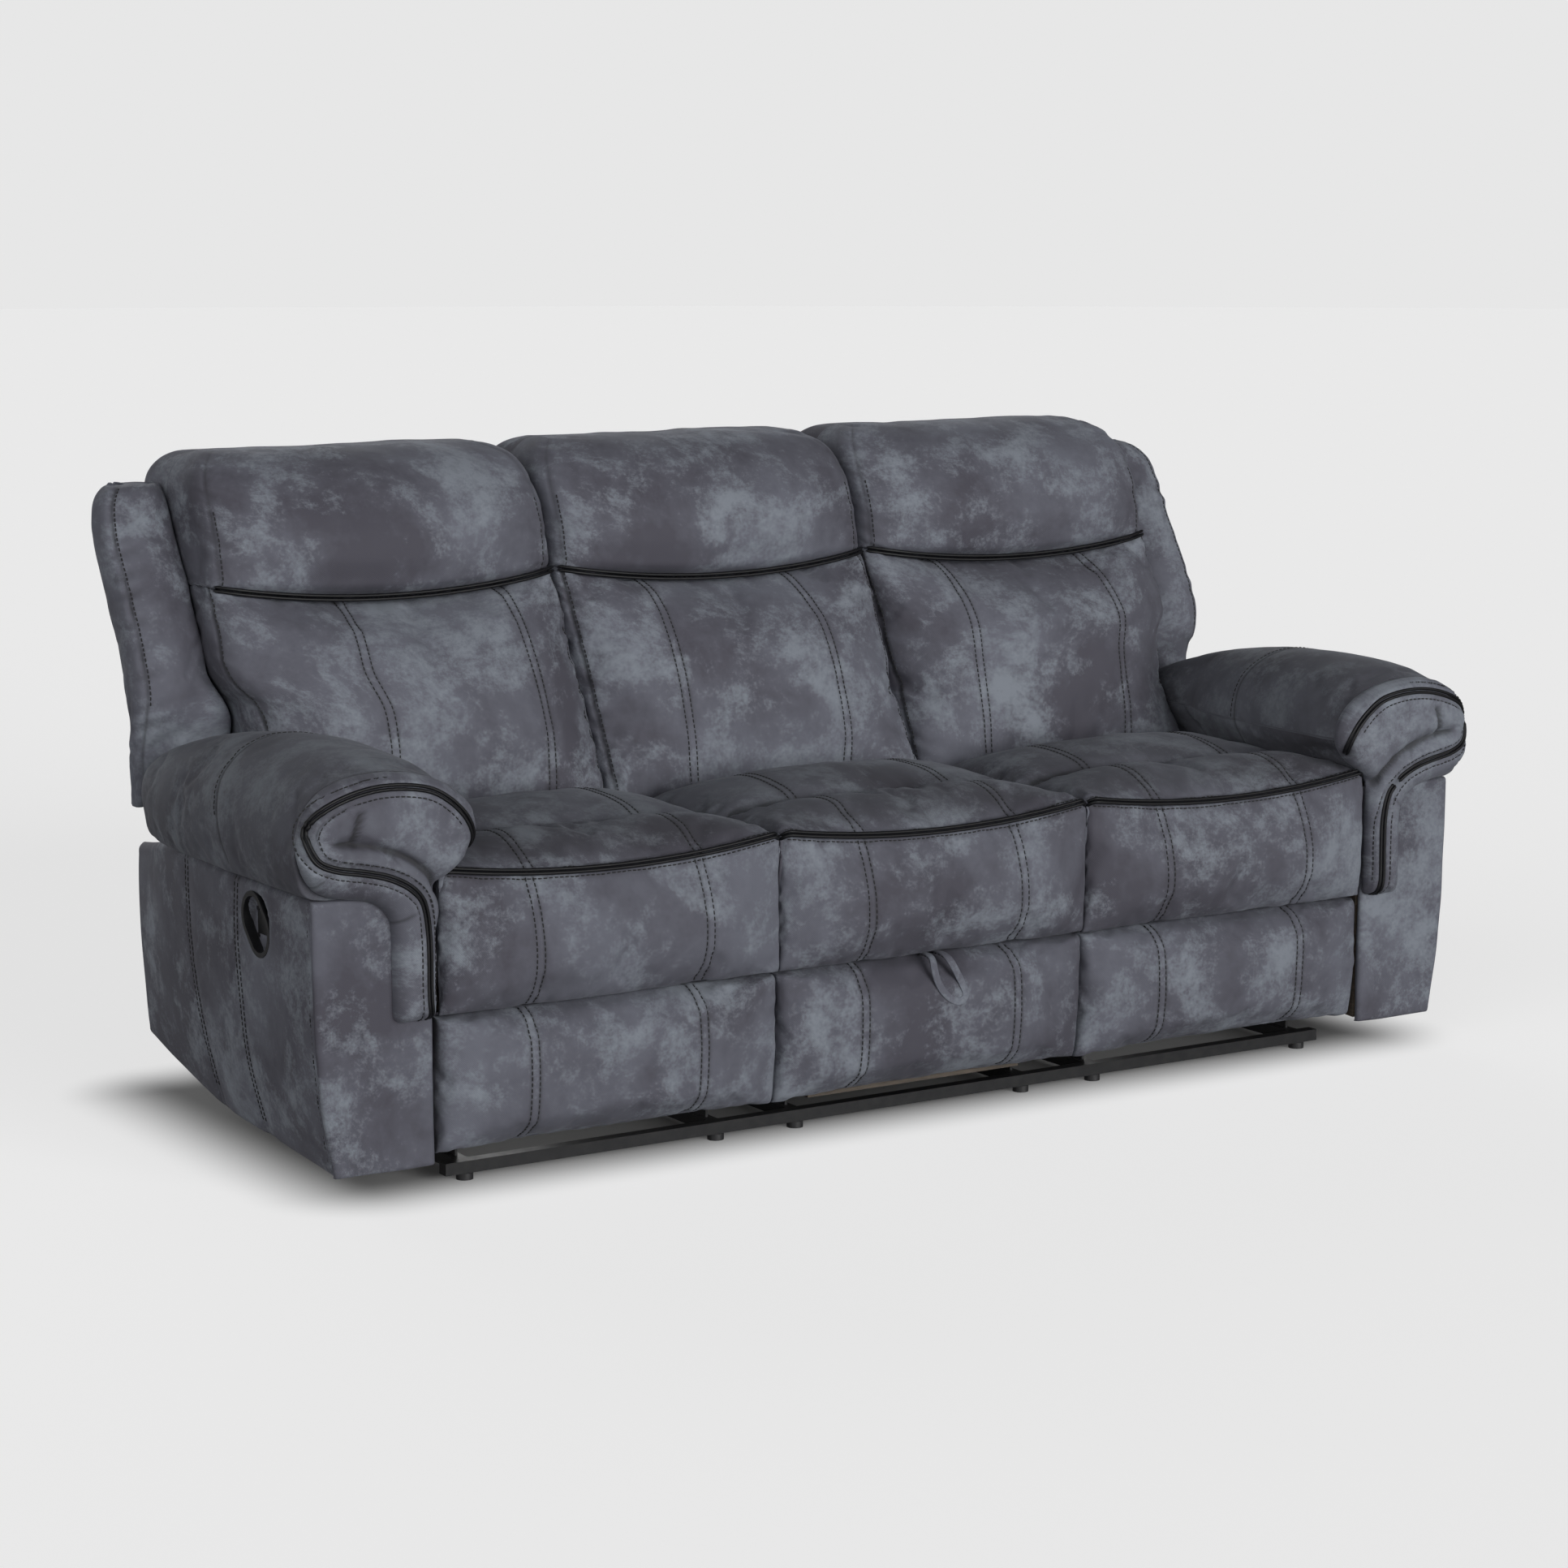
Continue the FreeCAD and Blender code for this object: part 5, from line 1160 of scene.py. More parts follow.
def wing_section(width, shell, depth, zero):
    """Corners of a wing's section: across from the lumbar's side, and back from its front edge;
    zero is where its inner side is."""
    pad = 0.5 * depth
    return [(zero, pad), (zero, 0.2 * depth), (zero + 0.001, 0.016), (zero + 0.014, 0.002),
            (0.35 * width, -0.007), (0.65 * width, -0.008), (width - 0.016, 0.0005),
            (width - 0.002, 0.012), (width + 0.0025, 0.3 * depth), (width - 0.001, pad - 0.012),
            (width - 0.012, pad), (shell + 0.004, pad + 0.004), (shell, pad + 0.016),
            (shell - 0.001, depth - 0.02),
            (shell - 0.006, depth - 0.004), (shell - 0.022, depth), (0.4 * shell, depth),
            (zero + 0.012, depth), (zero + 0.001, depth - 0.012)]


class SOFA_OT_wings(bpy.types.Operator):
    """Makes the side bolsters of the outer backs"""
    bl_idname = "sofa.wings"
    bl_label = "Wings"

    def execute(self, context):
        for seat, side in SIDES:
            z, front, inset, back = evenly(WING, sizes().coarse).T
            front = front - 0.032 * ease(z, 0.56, 0.66)
            inward = 0.040 * (1 - ease(z, 0.59, 0.68))
            width = 0.117 - inset
            shell = 0.076 - inset / 2
            depth = rear_face(z) - 0.0115 - back - front
            corners = np.stack([np.stack([side * (WING_INNER + a), front + b, z], -1)
                                for a, b in wing_section(width, shell, depth, -inward)], 1)
            grid = section_rings(corners, 8.4, sizes().coarse * 0.8)
            hub = grid[0].mean(0)
            low = [hub + (grid[0] - hub) * (share, share, 1) for share in (0.3, 0.8)]
            grid = closed(np.concatenate([low, grid]))
            front = np.concatenate([front[:1], front[:1], front])
            depth = np.concatenate([depth[:1], depth[:1], depth])
            pad = Pad(f"{seat}_wing_cover", grid)
            inner = np.abs(grid[..., 0]) < 0.8925
            rear = grid[..., 1] > (front + 0.62 * depth)[:, None]
            held = np.maximum(np.maximum(inner, rear), pad.along < 0.1)
            pad.fill(held * 1.0, spare=0.015, swell=0.009).refine()
            corner = self.front_corner(pad, 0.108)
            edge = np.abs(pad.across - corner)
            pad.undulate(0.002, 0.06, 111 + side).undulate(0.0008, 0.028, 113 + side)
            pad.pinch(edge, pad.along + 0.3 * pad.across, 0.003, 0.04, 0.016, 115 + side)
            pad.groove(edge, 0.0018, 0.0024, 0.4)
            pad.finish(f"{seat}_back", [f"{seat}_wing"], 0.75, upholstery())
            along = np.linspace(0.19, pad.length[-1] - 0.07, SEAM_POINTS)
            stitches(f"{seat}_wing_stitching", f"{seat}_back",
                     [pad.line(np.full(SEAM_POINTS, corner - 0.005), along)], sewing_thread())
        return {"FINISHED"}

    def front_corner(self, pad, width):
        """Length across at which the face reaches its outer front corner."""
        row = pad.grid[len(pad.grid) // 2, :pad.grid.shape[1] // 2]
        return float(np.interp(width, np.abs(row[:, 0]) - WING_INNER, pad.across[0, :len(row)]))


# Along an arm pad from its front: share of its length, how far it narrows inside and outside, and
# how far its top falls.
PAD_RUN = ((0.0, 0.12, 0.006, 0.018), (0.1, 0.02, 0.001, 0.005), (0.3, 0.0, 0.0, 0.0),
           (0.48, 0.12, 0.001, 0.007), (0.63, 0.6, 0.006, 0.018), (0.72, 1.02, 0.011, 0.027),
           (0.84, 1.06, 0.024, 0.044), (0.93, 1.2, 0.038, 0.060), (0.98, 1.5, 0.056, 0.076),
           (1.0, 2.0, 0.084, 0.096))
# Corners of the pad's section, as shares of its half width and of its reach up and down.
PAD_SECTION = ((-1, 0.0), (-0.82, 0.62), (-0.42, 0.92), (0, 1.0), (0.42, 0.92), (0.82, 0.62),
               (1, 0.02), (0.975, -0.55), (0.84, -0.94), (0.3, -1.0), (-0.46, -0.98), (-0.8, -0.34))


class SOFA_OT_arm_pads(bpy.types.Operator):
    """Makes the rolled pillows on the arms"""
    bl_idname = "sofa.arm_pads"
    bl_label = "Arm pads"

    def execute(self, context):
        low, middle, top = 0.4378, 0.517, 0.628
        for arm, side in SIDES:
            stops = [(ARM_SEAM + 0.6355 * share, 0.792 + 0.055 * run_in, 1.060 - run_out,
                      top - fall) for share, run_in, run_out, fall in PAD_RUN]
            rows = evenly(stops, sizes().coarse, lambda dense: dense[:, [0, 3]])
            y, inner, outer, high = rows.T
            centre, half = (inner + outer) / 2, (outer - inner) / 2
            corners = np.stack([
                np.stack(np.broadcast_arrays(
                    side * (centre + half * a), y,
                    middle + (high - middle if up > 0 else middle - low) * up), -1)
                for a, up in PAD_SECTION], 1)
            grid = section_rings(corners, 6, sizes().coarse)
            grid = np.concatenate([grid[:1], grid[:1], grid, grid[-1:]])
            hub = grid.mean(1, keepdims=True)
            grid[0] = hub[0] + (grid[0] - hub[0]) * (0.75, 1, 0.0)
            grid[1] = hub[1] + (grid[1] - hub[1]) * 0.9
            grid[0, :, 1] += 0.002
            grid[1, :, 1] += 0.001
            grid[-1] = hub[-1] + (grid[-1] - hub[-1]) * (0.55, 1, 0.0)
            pad = Pad(f"{arm}_arm_pad_cover", closed(grid))
            under = grid[..., 2] < low + 0.012
            held = np.maximum(under, grid[..., 1] < ARM_SEAM + 0.012)
            pad.fill(held * 1.0, spare=0.006, swell=0.007).refine()
            # Painted shade: the whole arm pad is drawn darker, for its top facing away from the
            # light.
            pad.shade += 0.45
            pad.undulate(0.0016, 0.11, 131 + side).undulate(0.0008, 0.03, 133 + side)
            outline = boot_welt(side)
            gap, along = to_line(pad.grid, outline)
            rim = np.where(gap < 0.09, gap, 0.09)
            pad.pinch(np.maximum(rim - 0.02, 0), along, 0.0018, 0.026, 0.013, 135 + side)
            cross = np.abs(pad.grid[..., 1] + self.cross_seam(pad.grid))
            cross = np.where(pad.grid[..., 2] > low + 0.02, cross, FAR)
            pad.groove(cross, 0.0016, 0.0022, 0.6)
            pad.relief *= ease(pad.grid[..., 1], ARM_SEAM, ARM_SEAM + 0.03)
            pad.finish("base", [f"{arm}_arm_pad"], 0.85, upholstery())
            stitches(f"{arm}_arm_pad_stitching", "base", self.cross_lines(pad),
                     sewing_thread())
        return {"FINISHED"}

    @staticmethod
    def cross_seam(grid):
        """The pad's cross seam lies across its top and slants to the front down its outer side."""
        return 0.165 + 0.05 * ease(np.abs(grid[..., 0]), 0.98, 1.06) * ease(
            -grid[..., 2], -0.62, -0.45)

    def cross_lines(self, pad):
        """The stitches just behind the cross seam, found on each column of the face."""
        half = pad.grid.shape[1] // 2
        columns = np.arange(half)
        face = pad.grid[:, :half]
        ahead = face[..., 1] + self.cross_seam(face) < 0.005
        rows = ahead.sum(0).astype(float)
        low = face[rows.astype(int), columns, 2] > 0.47
        rows, ring = rows[low], columns[low].astype(float)
        return [(read(pad.grid, rows, ring), read(pad.normal, rows, ring))]


# The boot, as pairs on its inner and outer outline and the spine between them, from the foot of
# the leg to the outer end of the scroll: x from the sofa's middle, and height.
BOOT = ((0.880, 0.2560, 0.880, 0.2560, 0.880, 0.270), (0.858, 0.2570, 0.902, 0.2570, 0.880, 0.276),
        (0.849, 0.2660, 0.911, 0.2660, 0.880, 0.286), (0.848, 0.3000, 0.912, 0.3000, 0.880, 0.312),
        (0.848, 0.3350, 0.912, 0.3350, 0.880, 0.342), (0.848, 0.3750, 0.912, 0.3700, 0.880, 0.376),
        (0.848, 0.4150, 0.914, 0.3950, 0.882, 0.410), (0.847, 0.4450, 0.922, 0.4120, 0.889, 0.440),
        (0.829, 0.4660, 0.938, 0.4250, 0.900, 0.467), (0.801, 0.4860, 0.957, 0.4320, 0.916, 0.491),
        (0.783, 0.5150, 0.978, 0.4365, 0.934, 0.507), (0.790, 0.5510, 0.998, 0.4405, 0.950, 0.516),
        (0.826, 0.5850, 1.016, 0.4455, 0.965, 0.521), (0.888, 0.6060, 1.031, 0.4550, 0.982, 0.525),
        (0.955, 0.6085, 1.042, 0.4700, 1.000, 0.526), (1.008, 0.5940, 1.049, 0.4870, 1.013, 0.526),
        (1.040, 0.5660, 1.053, 0.5040, 1.021, 0.526), (1.053, 0.5300, 1.0545, 0.5180, 1.027, 0.525),
        (1.0545, 0.5240, 1.0545, 0.5240, 1.030, 0.5245))
# Lines on the scroll's face, x from the sofa's middle and height: its welt, the crease of the
# tongue and the short fold beside it.
WELT = ((0.797, 0.495), (0.795, 0.508), (0.799, 0.524), (0.811, 0.544), (0.833, 0.565),
        (0.861, 0.581), (0.900, 0.589), (0.941, 0.590), (0.978, 0.584), (1.012, 0.572),
        (1.036, 0.556), (1.046, 0.537), (1.043, 0.515), (1.031, 0.495), (1.005, 0.484),
        (0.965, 0.476), (0.931, 0.467), (0.902, 0.453), (0.882, 0.435), (0.873, 0.415),
        (0.868, 0.382), (0.867, 0.344), (0.867, 0.306), (0.866, 0.280), (0.862, 0.2575))
CREASE = ((1.022, 0.520), (0.984, 0.517), (0.952, 0.511), (0.924, 0.502), (0.898, 0.490),
          (0.877, 0.475), (0.862, 0.460), (0.852, 0.444))
FOLD = ((0.972, 0.556), (0.978, 0.536), (0.981, 0.517))


def smooth_line(stops, step=0.004):
    return evenly(stops, step)


def boot_welt(side):
    """The scroll's welt in the room, in front of the arm."""
    line = smooth_line(WELT)
    return np.stack([side * line[:, 0], np.full(len(line), -0.468), line[:, 1]], 1)


class SOFA_OT_arm_boots(bpy.types.Operator):
    """Makes the scroll faces and the boots that run down beside the seat"""
    bl_idname = "sofa.arm_boots"
    bl_label = "Arm boots"

    def execute(self, context):
        for arm, side in SIDES:
            table = evenly(BOOT, sizes().fine * 0.8, lambda dense: dense[:, 2:4])
            inner, outer, spine = table[:, 0:2], table[:, 2:4], table[:, 4:6]
            outline = np.concatenate([inner, outer[-2:0:-1]])
            centre = np.concatenate([spine, spine[-2:0:-1]])
            reach = np.linalg.norm(outline - centre, axis=1)
            share = self.shares()[:, None]
            flat = outline + (centre - outline) * share[..., None]
            gap = reach * share
            depth = self.depth(gap)
            grid = np.stack([side * flat[..., 0], ARM_SEAM - depth, flat[..., 1]], -1)
            back = np.stack([side * centre[:, 0], np.full(len(centre), ARM_SEAM - 0.0004),
                             centre[:, 1]], 1)
            grid = np.concatenate([back[None], (grid[:1] + back[None]) / 2, grid])
            pad = Pad(f"{arm}_arm_boot_cover", closed(grid))
            pad.grid, pad.rows, pad.ring = grid, np.arange(len(grid)), np.arange(grid.shape[1])
            pad.cloth = np.stack([grid[..., 0], grid[..., 2]], -1)
            pad.relief = np.zeros(grid.shape[:2])
            pad.shade = np.zeros(grid.shape[:2])
            pad.normal = outward(grid)
            self.work(pad, side)
            pad.finish("base", [f"{arm}_arm_boot"], 0.85, upholstery())
            lines = [self.on_face(pad, line, side) for line in self.stitch_lines()]
            stitches(f"{arm}_arm_boot_stitching", "base", lines, sewing_thread())
            welts(f"{arm}_arm_welt", "base", [self.on_face(pad, smooth_line(WELT), side)],
                  welt_cord())
        return {"FINISHED"}

    @staticmethod
    def shares():
        """Share of the way from the outline to the spine of each row: short steps at the rim."""
        return np.linspace(0, 1, 34) ** 1.5

    @staticmethod
    def depth(gap):
        """How far the face stands forward: a quarter round at the rim, then a slight crown."""
        rim, least, thick, crown = 0.026, 0.0005, 0.0305, 0.004
        turn = 1 - np.clip(gap / rim, 0, 1)
        return (least + thick * np.sqrt(np.maximum(1 - turn ** 2.2, 0))
                + crown * ease(gap, 0.01, 0.05))

    def work(self, pad, side):
        """The tongue's crease, the short fold, the gusset's cross seams and the welt's valley, each
        with painted shade along it.
        """
        place = np.stack([np.abs(pad.grid[..., 0]), pad.grid[..., 2]], -1)
        front = ease(-pad.grid[..., 1], 0.4385, 0.452)
        crease, along = to_line(place, smooth_line(CREASE))
        fold = to_line(place, smooth_line(FOLD, 0.002))[0]
        welt, run = to_line(place, smooth_line(WELT))
        deep = ease(along, 0.0, 0.03) * front
        pad.relief -= deep * (0.0085 * bump(crease, 0.0055) + 0.004 * bump(crease, 0.014))
        pad.shade += 0.9 * deep * bump(crease, 0.004)
        puffed = bump(np.abs(crease - 0.03), 0.026) * front * (welt > 0.012)
        pad.relief += 0.005 * puffed
        pad.relief -= front * (0.0065 * bump(fold, 0.0045) + 0.003 * bump(fold, 0.012))
        pad.shade += 0.7 * front * bump(fold, 0.004)
        pad.pinch(crease, along, 0.0022, 0.03, 0.011, 151 + side)
        pad.relief -= front * 0.0032 * bump(welt, 0.0065)
        pad.shade += 0.35 * front * bump(welt, 0.008)
        pad.relief -= front * 0.0011 * bump(np.abs(welt - sizes().lip), 0.0018)
        pad.pinch(np.maximum(welt - 0.012, 0), run, 0.0012, 0.02, 0.012, 155 + side)
        for seam in (((1.018, 0.478), (1.044, 0.449)), ((0.886, 0.416), (0.915, 0.398))):
            pad.groove(to_line(place, seam)[0], 0.0012, 0.0016, 0.5)
        pad.undulate(0.0010, 0.05, 157 + side)

    @staticmethod
    def stitch_lines():
        """The welt's stitch rows: the welt's line moved square to itself to either side."""
        line = smooth_line(WELT)
        run = np.gradient(line, axis=0)
        run /= np.linalg.norm(run, axis=1, keepdims=True)
        square = np.stack([-run[:, 1], run[:, 0]], 1)
        lip = sizes().lip
        outer, inner = line + square * lip, line - square * lip
        inner = inner[(inner[:, 0] > 0.853) | (inner[:, 1] > 0.50)]
        return [inner[10:], outer[44:] if len(outer) > 60 else outer]

    @staticmethod
    def on_face(pad, line, side):
        """The points of the finished face nearest to a line drawn in front of it."""
        points = pad.grid.reshape(-1, 3)
        normals = pad.normal.reshape(-1, 3)
        ahead = points[:, 1] < ARM_SEAM - 0.001
        points, normals = points[ahead], normals[ahead]
        flat = np.stack([np.abs(points[:, 0]), points[:, 2]], 1)
        gap = ((line[:, None] - flat[None]) ** 2).sum(2)
        near = np.argpartition(gap, 5, axis=1)[:, :5]
        weight = 1 / (np.take_along_axis(gap, near, 1) + 1e-7)
        weight /= weight.sum(1, keepdims=True)
        depth = (points[near, 1] * weight).sum(1)
        normal = (normals[near] * weight[..., None]).sum(1)
        normal /= np.linalg.norm(normal, axis=1, keepdims=True)
        return np.stack([side * line[:, 0], depth, line[:, 1]], 1), normal


def arm_at(share):
    """The arm's outer face at a share of its length: top, bottom, low and high edge."""
    top = 1.028 - 0.078 * share ** 2.5
    fallen = np.clip((share - 0.7) / 0.3, 0, 1)
    raised = np.clip((share - 0.55) / 0.45, 0, 1) ** 1.3
    return top, 1.0 - 0.062 * share, 0.045 + 0.048 * raised, 0.437 - 0.039 * fallen


class SOFA_OT_arm_panels(bpy.types.Operator):
    """Makes the padded sides and fronts of the arms"""
    bl_idname = "sofa.arm_panels"
    bl_label = "Arm panels"

    def execute(self, context):
        for arm, side in SIDES:
            self.side_panel(arm, side)
            self.front_panel(arm, side)
        return {"FINISHED"}

    def side_panel(self, arm, side):
        cell = sizes().coarse * 1.2
        ring = box_ring(0.39, 0.014, 0.004, 0.004, cell)
        share = np.linspace(0, 1, 13)
        top, bottom, low, high = arm_at(share)
        y = -0.4255 + 0.7705 * share
        rows = [(y[0] + 0.003, -top[0] + 0.012, -top[0] + 0.014, low[0], high[0], 0.0),
                (y[0] + 0.0005, -top[0] + 0.006, -top[0] + 0.014, low[0], high[0], 0.0)]
        rows += [(*r, 0.003) for r in zip(y, -top, -top + 0.014, low, high)]
        rows[2] = (*rows[2][:5], 0.0)
        rows += [(y[-1] + 0.001, -top[-1] + 0.007, -top[-1] + 0.013, low[-1], high[-1], 0.0)]
        grid = slab(rows, ring, cell, 4.0)
        along = np.clip((grid[..., 2] + 0.4255) / 0.7705, 0, 1)
        top, bottom, low, high = arm_at(along)
        up = (grid[..., 0] - low) / (high - low)
        grid[..., 1] += (top - bottom) * np.clip(1 - up, 0, 1) ** 2.6
        grid = np.stack([-side * grid[..., 1], grid[..., 2], grid[..., 0]], -1)
        pad = Pad(f"{arm}_arm_side_cover", grid).refine()
        pad.undulate(0.0016, 0.09, 171 + side)
        cup = np.hypot(pad.grid[..., 1] + 0.25, pad.grid[..., 2] - 0.376)
        pad.relief *= ease(cup, 0.05, 0.1)
        pad.relief -= 0.012 * (1 - ease(cup, 0.036, 0.047)) * (~pad_back(pad))
        seams = []
        for rear, foot in ((0.040, 0.012), (-0.172, -0.172)):
            at = foot + (rear - foot) * ease(pad.grid[..., 2], 0.05, 0.40)
            clear = pad.grid[..., 2] < 0.50
            pad.twin(np.where(clear, np.abs(pad.grid[..., 1] - at), FAR))
            for turn in (-1, 1):
                z = np.linspace(0.085 if rear > 0 else 0.07, 0.432, SEAM_POINTS)
                at = foot + (rear - foot) * ease(z, 0.05, 0.40) + turn * sizes().twin
                seams.append((at, z))
        seams.append((np.full(SEAM_POINTS, -0.418), np.linspace(0.05, 0.432, SEAM_POINTS)))
        pad.finish("base", [f"{arm}_arm_side_panel"], 0.5, upholstery())
        stitches(f"{arm}_arm_side_stitching", "base",
                 [self.on_side(pad, at, z) for at, z in seams], sewing_thread())

    @staticmethod
    def on_side(pad, y, z):
        """Points and normals of the outer face at those depths and heights."""
        face = ~pad_back(pad)
        points = pad.grid[face]
        normals = pad.normal[face]
        gap = (y[:, None] - points[:, 1]) ** 2 + (z[:, None] - points[:, 2]) ** 2
        near = np.argpartition(gap, 4, axis=1)[:, :4]
        weight = 1 / (np.take_along_axis(gap, near, 1) + 1e-7)
        weight /= weight.sum(1, keepdims=True)
        normal = (normals[near] * weight[..., None]).sum(1)
        normal /= np.linalg.norm(normal, axis=1, keepdims=True)
        return np.stack([(points[near, 0] * weight).sum(1), y, z], 1), normal

    def front_panel(self, arm, side):
        cell = sizes().coarse
        ring = box_ring(0.18, 0.012, 0.005, 0.003, cell * 0.7)
        rows = []
        for z, tuck in ((0.0465, 28.0), (0.0450, 28.0), (0.047, 27.6), (0.09, 20.0), (0.15, 10.0),
                        (0.22, 4.5), (0.30, 1.2), (0.38, 0.0), (0.432, 0.0), (0.437, 0.0),
                        (0.4365, 0.0)):
            rows.append((z, -0.4375, -0.4257, ARM_INNER, 1.0295 - tuck / 1000, 0.0025))
        rows[0] = (rows[0][0], -0.430, *rows[0][2:5], 0.0)
        rows[1] = (rows[1][0], -0.4345, *rows[1][2:5], 0.0)
        rows[-2] = (rows[-2][0], -0.4345, *rows[-2][2:5], 0.0)
        rows[-1] = (rows[-1][0], -0.430, *rows[-1][2:5], 0.0)
        grid = slab(rows, ring, cell, 4.0) * (side, 1, 1)
        pad = Pad(f"{arm}_arm_front_cover", grid).refine()
        pad.undulate(0.0012, 0.06, 181 + side)
        pad.finish("base", [f"{arm}_arm_front_panel"], 0.5, upholstery())


def pad_back(pad):
    """The points behind a pad's face."""
    around = pad.grid.shape[1]
    hidden = np.zeros(pad.grid.shape[:2], bool)
    hidden[:, around // 2 + 1:] = True
    return hidden


# Up a rear cover: height, how far the face stands in, crown, and 1 where it fits between the arms.
REAR = ((0.3003, 0.002, 0.0, 1), (0.300, 0.0004, 0.001, 1), (0.306, 0.0, 0.003, 1),
        (0.36, 0.0, 0.004, 1), (0.47, 0.0, 0.004, 1), (0.508, 0.0, 0.004, 0.96),
        (0.520, 0.0, 0.004, 0.04), (0.56, 0.0, 0.004, 0), (0.62, 0.0, 0.004, 0),
        (0.72, 0.0, 0.004, 0), (0.82, 0.0, 0.004, 0), (0.898, 0.0, 0.003, 0),
        (0.9045, 0.0004, 0.001, 0), (0.9048, 0.003, 0.0, 0))


class SOFA_OT_rear_covers(bpy.types.Operator):
    """Makes the covers of the back frames"""
    bl_idname = "sofa.rear_covers"
    bl_label = "Rear covers"

    def execute(self, context):
        for seat, number in SEATS:
            rows = []
            for z, setback, crown, low in REAR:
                if number:
                    edges = (0.2965, 0.965 - 0.122 * low)
                    edges = edges if number > 0 else (-edges[1], -edges[0])
                else:
                    edges = (-0.2935, 0.2935)
                face = -rear_face(z) + setback
                rows.append((z, face, -rear_face(z) + 0.0098, *edges, crown))
            width = edges[1] - edges[0]
            ring = box_ring(width, 0.0098, 0.004, 0.003, sizes().coarse)
            grid = slab(rows, ring, sizes().coarse, 4.0) * (1, -1, 1)
            pad = Pad(f"{seat}_rear_cover", grid).refine(0.006)
            pad.undulate(0.0012, 0.11, 191 + number)
            side = width / 2 - 0.006
            edge = np.abs(np.abs(pad.across) - side)
            pad.groove(edge, 0.001, 0.002, 0.4)
            pad.finish(back_body(seat), [f"{seat}_rear_panel"], 0.4, upholstery())
            along = np.linspace(0.03, pad.length[-1] - 0.02, SEAM_POINTS)
            lines = [pad.line(np.full(SEAM_POINTS, turn * (side - 0.008)), along)
                     for turn in (-1, 1)]
            stitches(f"{seat}_rear_stitching", back_body(seat), lines, sewing_thread())
        return {"FINISHED"}


# Middle line of the strap in the room: out over the drawer's front, down, round and back.
STRAP = ((-0.0150, -0.412, 0.2540), (-0.0150, -0.430, 0.2542), (-0.0155, -0.447, 0.2536),
         (-0.0170, -0.4585, 0.2480), (-0.0175, -0.4640, 0.2350), (-0.0130, -0.4655, 0.2180),
         (-0.0030, -0.4660, 0.2010), (0.0110, -0.4662, 0.1880), (0.0240, -0.4664, 0.1820),
         (0.0350, -0.4664, 0.1840), (0.0390, -0.4660, 0.1930), (0.0330, -0.4655, 0.2080),
         (0.0220, -0.4650, 0.2280), (0.0130, -0.4600, 0.2460), (0.0105, -0.447, 0.2532),
         (0.0100, -0.430, 0.2540), (0.0100, -0.412, 0.2540))


class SOFA_OT_pull_strap(bpy.types.Operator):
    """Makes the drawer's pull, a folded and sewn strip of the cover"""
    bl_idname = "sofa.pull_strap"
    bl_label = "Pull strap"

    def execute(self, context):
        line = evenly(STRAP, 0.003, lambda dense: dense)
        run = np.gradient(line, axis=0)
        run /= np.linalg.norm(run, axis=1, keepdims=True)
        hang = ease(-line[:, 1], 0.448, 0.462)[:, None]
        turned = np.where(np.arange(len(line)) < len(line) / 2, -1.0, 1.0)[:, None]
        wide = (turned * (1 - hang) * np.array((1.0, 0.0, 0.0))
                + hang * np.cross(run, (0.0, -1.0, 0.0)))
        wide -= run * (wide * run).sum(1, keepdims=True)
        wide /= np.linalg.norm(wide, axis=1, keepdims=True)
        thick = np.cross(run, wide)
        turn = np.arange(20) * math.pi / 10
        a, b = -np.cos(turn), np.sin(turn)
        half_width, half_thick = 0.0058, 0.0014
        ring_a = np.sign(a) * np.abs(a) ** 0.45 * half_width
        ring_b = np.sign(b) * np.abs(b) ** 0.8 * half_thick
        edge = 1 + 0.35 * np.abs(ring_a / half_width) ** 6
        grid = (line[:, None] + wide[:, None] * ring_a[:, None]
                + thick[:, None] * (ring_b * edge)[:, None])
        cloth = np.stack(np.broadcast_arrays(ring_a[None] + 0.02 * (ring_b > 0),
                                             lengths(line)[:, None], 3.1), -1)
        grid = closed(np.concatenate([grid[:1], grid, grid[-1:]]))
        cloth = np.concatenate([cloth[:1], cloth, cloth[-1:]])
        thing = grid_object("pull_strap_loop", grid, (
            ("cloth", "FLOAT_VECTOR", cloth),
            ("hollow", "FLOAT", np.zeros(grid.shape[:2]))))
        thing.data.materials.append(upholstery())
        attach(thing, "drawer")
        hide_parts("pull_strap")
        lines = [(line + wide * shift + thick * 0.0016, thick) for shift in (-0.004, 0.004)]
        stitches("pull_strap_stitching", "drawer", lines, sewing_thread())
        return {"FINISHED"}


